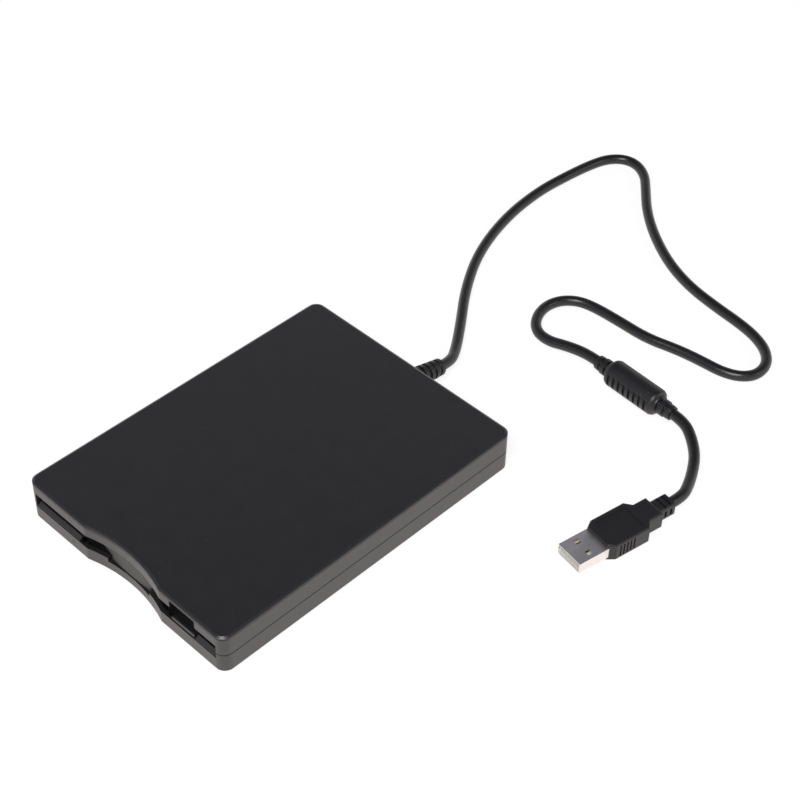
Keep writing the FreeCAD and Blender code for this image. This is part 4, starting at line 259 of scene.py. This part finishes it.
def surface(name, colour, roughness, scale, depth, shift=0.25, spread=0.08, metallic=0.0,
            specular=0.5, stretch=(1, 1, 1), turn=0.0, dust=0.0):
    """A material with its grain: scale in waves per metre and depth in metres."""
    material, tree, shader = new_material(name)
    coordinates = tree.nodes.new("ShaderNodeTexCoord")
    mapping = add_node(tree, "ShaderNodeMapping", Scale=stretch, Rotation=(0, 0, turn))
    texture = tree.nodes.new("ShaderNodeGroup")
    texture.node_tree = grain
    for socket, setting in (("Scale", scale), ("Colour", (*colour, 1)), ("Shift", shift),
                            ("Roughness", roughness), ("Spread", spread)):
        texture.inputs[socket].default_value = setting
    tree.links.new(coordinates.outputs["Object"], mapping.inputs["Vector"])
    tree.links.new(mapping.outputs["Vector"], texture.inputs["Vector"])
    shown = texture.outputs["Colour"]
    if dust:
        cover = tree.nodes.new("ShaderNodeGroup")
        cover.node_tree = dusting
        cover.inputs["Amount"].default_value = dust
        tree.links.new(coordinates.outputs["Object"], cover.inputs["Vector"])
        tree.links.new(shown, cover.inputs["Colour"])
        shown = cover.outputs["Colour"]
    tree.links.new(shown, shader.inputs["Base Color"])
    tree.links.new(texture.outputs["Roughness"], shader.inputs["Roughness"])
    bump = add_node(tree, "ShaderNodeBump", Strength=0.6, Distance=depth)
    tree.links.new(texture.outputs["Height"], bump.inputs["Height"])
    tree.links.new(bump.outputs["Normal"], shader.inputs["Normal"])
    shader.inputs["Metallic"].default_value = metallic
    shader.inputs["Specular IOR Level"].default_value = specular
    return material


def dress(names, material):
    """Give CAD nodes a material."""
    for name in names:
        mesh = nodes[name].data
        mesh.materials.clear()
        mesh.materials.append(material)


def softened(name, node, body, edge, material, segments=2):
    """A copy of a CAD node with its sharp edges rounded, which stands for the node."""
    shape = bmesh.new()
    shape.from_mesh(nodes[node].data)
    bmesh.ops.remove_doubles(shape, verts=shape.verts, dist=MERGE)
    bmesh.ops.dissolve_limit(shape, angle_limit=FLAT_ANGLE, verts=shape.verts,
                             edges=shape.edges)
    hard = [line for line in shape.edges
            if line.is_manifold and line.calc_face_angle(0) > HARD_EDGE]
    bmesh.ops.bevel(shape, geom=hard, offset=edge, offset_type="OFFSET", segments=segments,
                    affect="EDGES", profile=0.5, material=-1, clamp_overlap=True)
    bmesh.ops.remove_doubles(shape, verts=shape.verts, dist=MERGE / 4)
    mesh = bpy.data.meshes.new(name)
    shape.to_mesh(mesh)
    shape.free()
    mesh.materials.append(material)
    piece = bpy.data.objects.new(name, mesh)
    bpy.context.collection.objects.link(piece)
    for face in mesh.polygons:
        face.use_smooth = True
    weighted = piece.modifiers.new("even_normals", "WEIGHTED_NORMAL")
    weighted.keep_sharp = True
    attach(piece, body)
    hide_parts(node)
    return piece


shell_plastic = surface("shell_plastic", (0.0125, 0.0122, 0.013), roughness=0.38,
                        scale=CASE_GRAIN, depth=0.012 * MM, shift=0.3, spread=0.07, specular=1.0,
                        dust=0.5)
softened("lid", "top_shell", "case", CASE_EDGE, shell_plastic)
softened("base", "bottom_shell", "case", CASE_EDGE, shell_plastic)


# Front: bars and cheeks of the inner bezel, and the sprung flap with its thumb pad, moulded
# in slightly duller plastic. The flap turns on its own pins, with a steel spring on one.
BEZEL_EDGE = 0.1 * MM
bezel_plastic = surface("bezel_plastic", (0.012, 0.012, 0.013), roughness=0.47, scale=CASE_GRAIN,
                        depth=0.012 * MM, shift=0.25, specular=0.75, dust=0.3)
softened("bezel_bars", "front_bezel", "case", BEZEL_EDGE, bezel_plastic)
softened("flap", "dust_flap", "flap", BEZEL_EDGE, bezel_plastic)
spring_steel = surface("spring_steel", (0.42, 0.41, 0.4), roughness=0.3, scale=4000,
                       depth=0.004 * MM, metallic=1.0, stretch=(1, 0.1, 1))
dress(["flap_spring", "arm_leaf_spring"], spring_steel)

# Light pipe: a clear rod that ends flush in the lower front, its lamp off. Its colour is painted
# light: painted shade in the middle for the dark case it looks into, and a pale painted highlight
# ring where the rim catches the light.
# Painted light: where the painted highlight ring starts and ends, and the colours of the painted
# shade and the painted highlight.
HIGHLIGHT_RING_START = 0.6 * MM
HIGHLIGHT_RING_END = 0.72 * MM
PAINTED_SHADE_MIDDLE = (0.003, 0.003, 0.003, 1)
PAINTED_RIM_HIGHLIGHT = (0.11, 0.11, 0.105, 1)
corners = [Vector(corner) for corner in nodes["led_light_pipe"].bound_box]
rod_middle = sum(corners, Vector()) / len(corners)
lamp_glass, tree, shader = new_material("light_pipe_clear")
coordinates = tree.nodes.new("ShaderNodeTexCoord")
across = add_node(tree, "ShaderNodeMapping", Location=(-rod_middle.x, 0, -rod_middle.z),
                  Scale=(1, 0, 1))
outward = tree.nodes.new("ShaderNodeVectorMath")
outward.operation = "LENGTH"
highlight_ring_mask = add_node(tree, "ShaderNodeMapRange", From_Min=HIGHLIGHT_RING_START, From_Max=HIGHLIGHT_RING_END)
cloud = add_node(tree, "ShaderNodeTexNoise", Scale=900.0, Detail=2.0)
span = add_node(tree, "ShaderNodeMapRange", To_Min=0.12, To_Max=0.25)
tint = tree.nodes.new("ShaderNodeMix")
tint.data_type = "RGBA"
tint.inputs["A"].default_value = PAINTED_SHADE_MIDDLE
tint.inputs["B"].default_value = PAINTED_RIM_HIGHLIGHT
tree.links.new(coordinates.outputs["Object"], across.inputs["Vector"])
tree.links.new(across.outputs["Vector"], outward.inputs[0])
tree.links.new(outward.outputs["Value"], highlight_ring_mask.inputs["Value"])
tree.links.new(coordinates.outputs["Object"], cloud.inputs["Vector"])
tree.links.new(cloud.outputs["Fac"], span.inputs["Value"])
# The base colour mixes the painted shade of the middle with the painted rim highlight.
tree.links.new(highlight_ring_mask.outputs["Result"], tint.inputs["Factor"])
tree.links.new(span.outputs["Result"], shader.inputs["Roughness"])
tree.links.new(tint.outputs["Result"], shader.inputs["Base Color"])
shader.inputs["Specular IOR Level"].default_value = 0.3
dress(["led_light_pipe"], lamp_glass)


# Eject button and slider: the button is pressed in against the slider plate, a zinc-plated
# pressing whose sloped slots lower the carrier.
BUTTON_EDGE = 0.12 * MM
button_plastic = surface("button_plastic", (0.0095, 0.0095, 0.0105), roughness=0.36,
                         scale=CASE_GRAIN, depth=0.008 * MM, specular=0.8, dust=0.3)
softened("button", "eject_button", "slider", BUTTON_EDGE, button_plastic)
zinc_sheet = surface("zinc_sheet", (0.56, 0.57, 0.58), roughness=0.34, scale=2600,
                     depth=0.006 * MM, shift=0.3, spread=0.16, metallic=1.0)
dress(["slider_plate", "drive_frame", "frame_cover", "stepper_bracket", "rod_clips"],
      zinc_sheet)
carrier_steel = surface("carrier_steel", (0.6, 0.6, 0.59), roughness=0.28, scale=3400,
                        depth=0.004 * MM, spread=0.12, metallic=1.0, stretch=(1, 0.08, 1))
dress(["disk_carrier", "shutter_lever"], carrier_steel)


# Feet and screws: soft black rubber pads pressed into the floor, and blackened self-tapping
# screws. The frame's own screws are bright zinc.
foot_rubber = surface("foot_rubber", (0.016, 0.016, 0.017), roughness=0.72, scale=2600,
                      depth=0.03 * MM, shift=0.4, specular=0.4, dust=0.8)
dress(["rubber_feet"], foot_rubber)
screw_black = surface("screw_black", (0.12, 0.12, 0.125), roughness=0.36, scale=3000,
                      depth=0.006 * MM, metallic=1.0, spread=0.2)
screw_zinc = surface("screw_zinc", (0.62, 0.63, 0.64), roughness=0.27, scale=3000,
                     depth=0.006 * MM, metallic=1.0, spread=0.15)
dress(["case_screws"], screw_black)
dress(["frame_screws"], screw_zinc)


# Spindle motor: a phenolic board, a sintered bearing, a laminated core with nine varnished
# windings, and a plated rotor cup that carries the ring magnet and the polished hub.
board_green = surface("board_green", (0.012, 0.085, 0.035), roughness=0.32, scale=1500,
                      depth=0.01 * MM, shift=0.5, specular=0.6)
board_tan = surface("board_tan", (0.27, 0.17, 0.07), roughness=0.5, scale=1800, depth=0.01 * MM,
                    shift=0.5)
bronze = surface("oiled_bronze", (0.5, 0.36, 0.19), roughness=0.42, scale=6000, depth=0.01 * MM,
                 shift=0.4, metallic=1.0)
laminations = surface("core_laminations", (0.09, 0.092, 0.1), roughness=0.45, scale=3000,
                      depth=0.02 * MM, metallic=0.7, stretch=(0.2, 0.2, 6))
varnished_copper = surface("varnished_copper", (0.62, 0.24, 0.1), roughness=0.3, scale=4500,
                           depth=0.04 * MM, metallic=1.0, stretch=(1, 1, 2.5))
magnet_black = surface("magnet_black", (0.035, 0.034, 0.036), roughness=0.6, scale=3500,
                       depth=0.01 * MM)
hub_steel = surface("hub_steel", (0.66, 0.66, 0.65), roughness=0.18, scale=5000, depth=0.003 * MM,
                    metallic=1.0, spread=0.12)
dress(["motor_board"], board_tan)
dress(["spindle_bearing"], bronze)
dress(["stator_core"], laminations)
dress(["stator_coils"], varnished_copper)
dress(["spindle_rotor"], zinc_sheet)
dress(["rotor_magnet"], magnet_black)
dress(["spindle_hub"], hub_steel)


# Heads: a glass-filled carriage on two ground rods, ceramic heads and a sprung upper arm.
carriage_plastic = surface("carriage_plastic", (0.03, 0.032, 0.036), roughness=0.5, scale=2200,
                           depth=0.02 * MM, shift=0.5)
arm_plastic = surface("arm_plastic", (0.44, 0.42, 0.38), roughness=0.45, scale=2200,
                      depth=0.015 * MM)
head_ceramic = surface("head_ceramic", (0.62, 0.6, 0.55), roughness=0.14, scale=3000,
                       depth=0.002 * MM, specular=0.7)
ground_steel = surface("ground_steel", (0.63, 0.63, 0.64), roughness=0.16, scale=6000,
                       depth=0.002 * MM, metallic=1.0, stretch=(1, 0.05, 1))
dress(["head_carriage"], carriage_plastic)
dress(["upper_head_arm"], arm_plastic)
dress(["lower_head", "upper_head"], head_ceramic)
dress(["guide_rods", "lead_screw"], ground_steel)


# Stepper, sensor and switches: a drawn steel can, and small housings in black resin.
motor_can = surface("motor_can", (0.5, 0.5, 0.5), roughness=0.3, scale=3500, depth=0.004 * MM,
                    metallic=1.0, stretch=(1, 0.1, 1), spread=0.15)
resin_black = surface("resin_black", (0.02, 0.02, 0.022), roughness=0.5, scale=3000,
                      depth=0.012 * MM)
plunger_white = surface("plunger_white", (0.66, 0.65, 0.6), roughness=0.4, scale=3000,
                        depth=0.006 * MM)
dress(["stepper_motor"], motor_can)
dress(["track_zero_sensor", "switch_housings"], resin_black)
dress(["write_protect_plunger", "density_plunger"], plunger_white)


# Boards: green lacquered boards with their chips and sockets, joined by a flat ribbon.
chip_resin = surface("chip_resin", (0.022, 0.022, 0.024), roughness=0.55, scale=4500,
                     depth=0.015 * MM)
socket_cream = surface("socket_cream", (0.55, 0.5, 0.38), roughness=0.42, scale=2500,
                       depth=0.01 * MM)
ribbon_grey = surface("ribbon_grey", (0.4, 0.4, 0.42), roughness=0.45, scale=900, depth=0.12 * MM,
                      stretch=(1, 0.02, 0.02))
dress(["logic_board", "bridge_board"], board_green)
dress(["logic_chips", "bridge_chips"], chip_resin)
dress(["ribbon_sockets"], socket_cream)
dress(["ribbon_cable"], ribbon_grey)


# Strain relief, ferrite sleeve and plug grip: the same soft black vinyl, moulded over the
# cord. The tool leaves rounded edges, and handling leaves a soft shine.
VINYL_EDGE = 0.3 * MM
moulded_vinyl = surface("moulded_vinyl", (0.0125, 0.0125, 0.0135), roughness=0.42, scale=2600,
                        depth=0.02 * MM, shift=0.4, spread=0.14, specular=0.55, dust=0.6)
softened("cord_relief", "strain_relief", "case", VINYL_EDGE / 2, moulded_vinyl)
sleeve = softened("sleeve", "ferrite_sleeve", "case", VINYL_EDGE, moulded_vinyl,
                  segments=3)
grip = softened("grip", "plug_grip", "case", VINYL_EDGE, moulded_vinyl, segments=3)


# Plug: a nickel-plated shell folded from sheet, a white tongue and four gold-plated contacts.
PLUG_TURN = math.radians(-10)
nickel = surface("nickel_plate", (0.93, 0.89, 0.86), roughness=0.42, scale=3000, depth=0.006 * MM,
                 shift=0.35, spread=0.2, metallic=1.0, stretch=(1, 0.12, 1), turn=-PLUG_TURN)
tongue_white = surface("tongue_white", (0.7, 0.69, 0.66), roughness=0.45, scale=2500,
                       depth=0.008 * MM)
gold = surface("gold_plate", (0.8, 0.56, 0.2), roughness=0.22, scale=4000, depth=0.003 * MM,
               metallic=1.0)
dress(["plug_shell"], nickel)
dress(["plug_tongue"], tongue_white)
dress(["plug_contacts"], gold)


# Cord: soft dark vinyl, 4.4 mm thick. It leaves the strain relief, wanders over the table to
# the ferrite sleeve and goes on to the plug. Its two free stretches keep within 5 mm of the
# solids.
CORD_DIAMETER = 4.4 * MM
CORD_SMOOTHNESS = 12
cord_vinyl = surface("cord_vinyl", (0.0125, 0.0125, 0.0135), roughness=0.33, scale=1400,
                     depth=0.02 * MM, shift=0.4, spread=0.12, specular=0.6, dust=0.5)
TO_FERRITE = [
    (0.0, 87.5, 5.8), (-0.2, 93.4, 4.6), (-3.6, 100.4, 3.0), (-14.0, 114.6, 2.4),
    (-28.6, 133.2, 2.4), (-41.4, 155.2, 2.4), (-49.6, 181.4, 2.4), (-52.2, 205.6, 2.4),
    (-50.9, 224.0, 2.4), (-49.0, 238.4, 2.4), (-46.4, 247.0, 2.4), (-41.0, 252.4, 2.4),
    (-34.2, 253.0, 2.4), (-26.8, 249.0, 2.4), (-20.4, 241.8, 2.4), (-10.0, 229.6, 2.4),
    (3.4, 218.0, 2.4), (20.2, 207.3, 2.4), (36.2, 201.2, 2.4), (52.2, 198.6, 2.4),
    (65.4, 197.2, 2.4), (75.0, 194.9, 2.4), (82.6, 190.9, 2.4), (87.7, 184.6, 2.4),
    (88.5, 176.8, 2.4), (84.5, 171.2, 2.4), (77.4, 168.3, 2.4), (68.6, 167.7, 2.4),
    (57.4, 166.3, 2.4), (44.0, 162.8, 2.4), (29.2, 162.9, 2.4), (17.4, 162.6, 2.4),
    (9.5, 160.9, 2.4), (3.9, 155.6, 2.4), (2.1, 147.9, 2.4), (4.6, 139.6, 2.4),
    (10.2, 133.8, 2.5), (17.8, 132.4, 3.0), (26.0, 134.0, 4.6), (35.4, 135.2, 5.7),
    (41.8, 134.8, 5.7)]
TO_PLUG = [
    (81.0, 132.2, 5.7), (87.2, 131.7, 5.7), (93.4, 128.3, 4.2), (99.6, 122.7, 3.0),
    (104.2, 115.3, 2.6), (107.8, 107.9, 3.2), (110.1, 101.4, 4.1), (109.0, 95.0, 4.1)]


def route_curve(name, route, thickness):
    """The route as a smooth spline, with or without the cord's round section."""
    curve = bpy.data.curves.new(name, "CURVE")
    curve.dimensions = "3D"
    curve.bevel_depth = thickness / 2
    curve.bevel_resolution = 6
    curve.resolution_u = CORD_SMOOTHNESS
    curve.use_fill_caps = True
    spline = curve.splines.new("NURBS")
    spline.points.add(len(route) - 1)
    for point, spot in zip(spline.points, route):
        point.co = (spot[0] * MM, spot[1] * MM, spot[2] * MM, 1)
    spline.order_u = 3
    spline.use_endpoint_u = True
    drawn = bpy.data.objects.new(name, curve)
    bpy.context.collection.objects.link(drawn)
    mesh = bpy.data.meshes.new_from_object(drawn)
    bpy.data.objects.remove(drawn)
    return mesh


def cord_stretch(name, route, stands_for):
    """One free stretch of the cord as a smooth tube through its route."""
    line = route_curve(name + "_line", route, 0)
    bpy.data.meshes.remove(line)
    mesh = route_curve(name, route, CORD_DIAMETER)
    piece = bpy.data.objects.new(name, mesh)
    bpy.context.collection.objects.link(piece)
    mesh.shade_smooth()
    mesh.materials.append(cord_vinyl)
    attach(piece, "case")
    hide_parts(stands_for)


cord_stretch("long_cord", TO_FERRITE, "cord_to_ferrite")
cord_stretch("short_cord", TO_PLUG, "cord_to_plug")


# Bring the scene up to date.
bpy.context.view_layer.update()
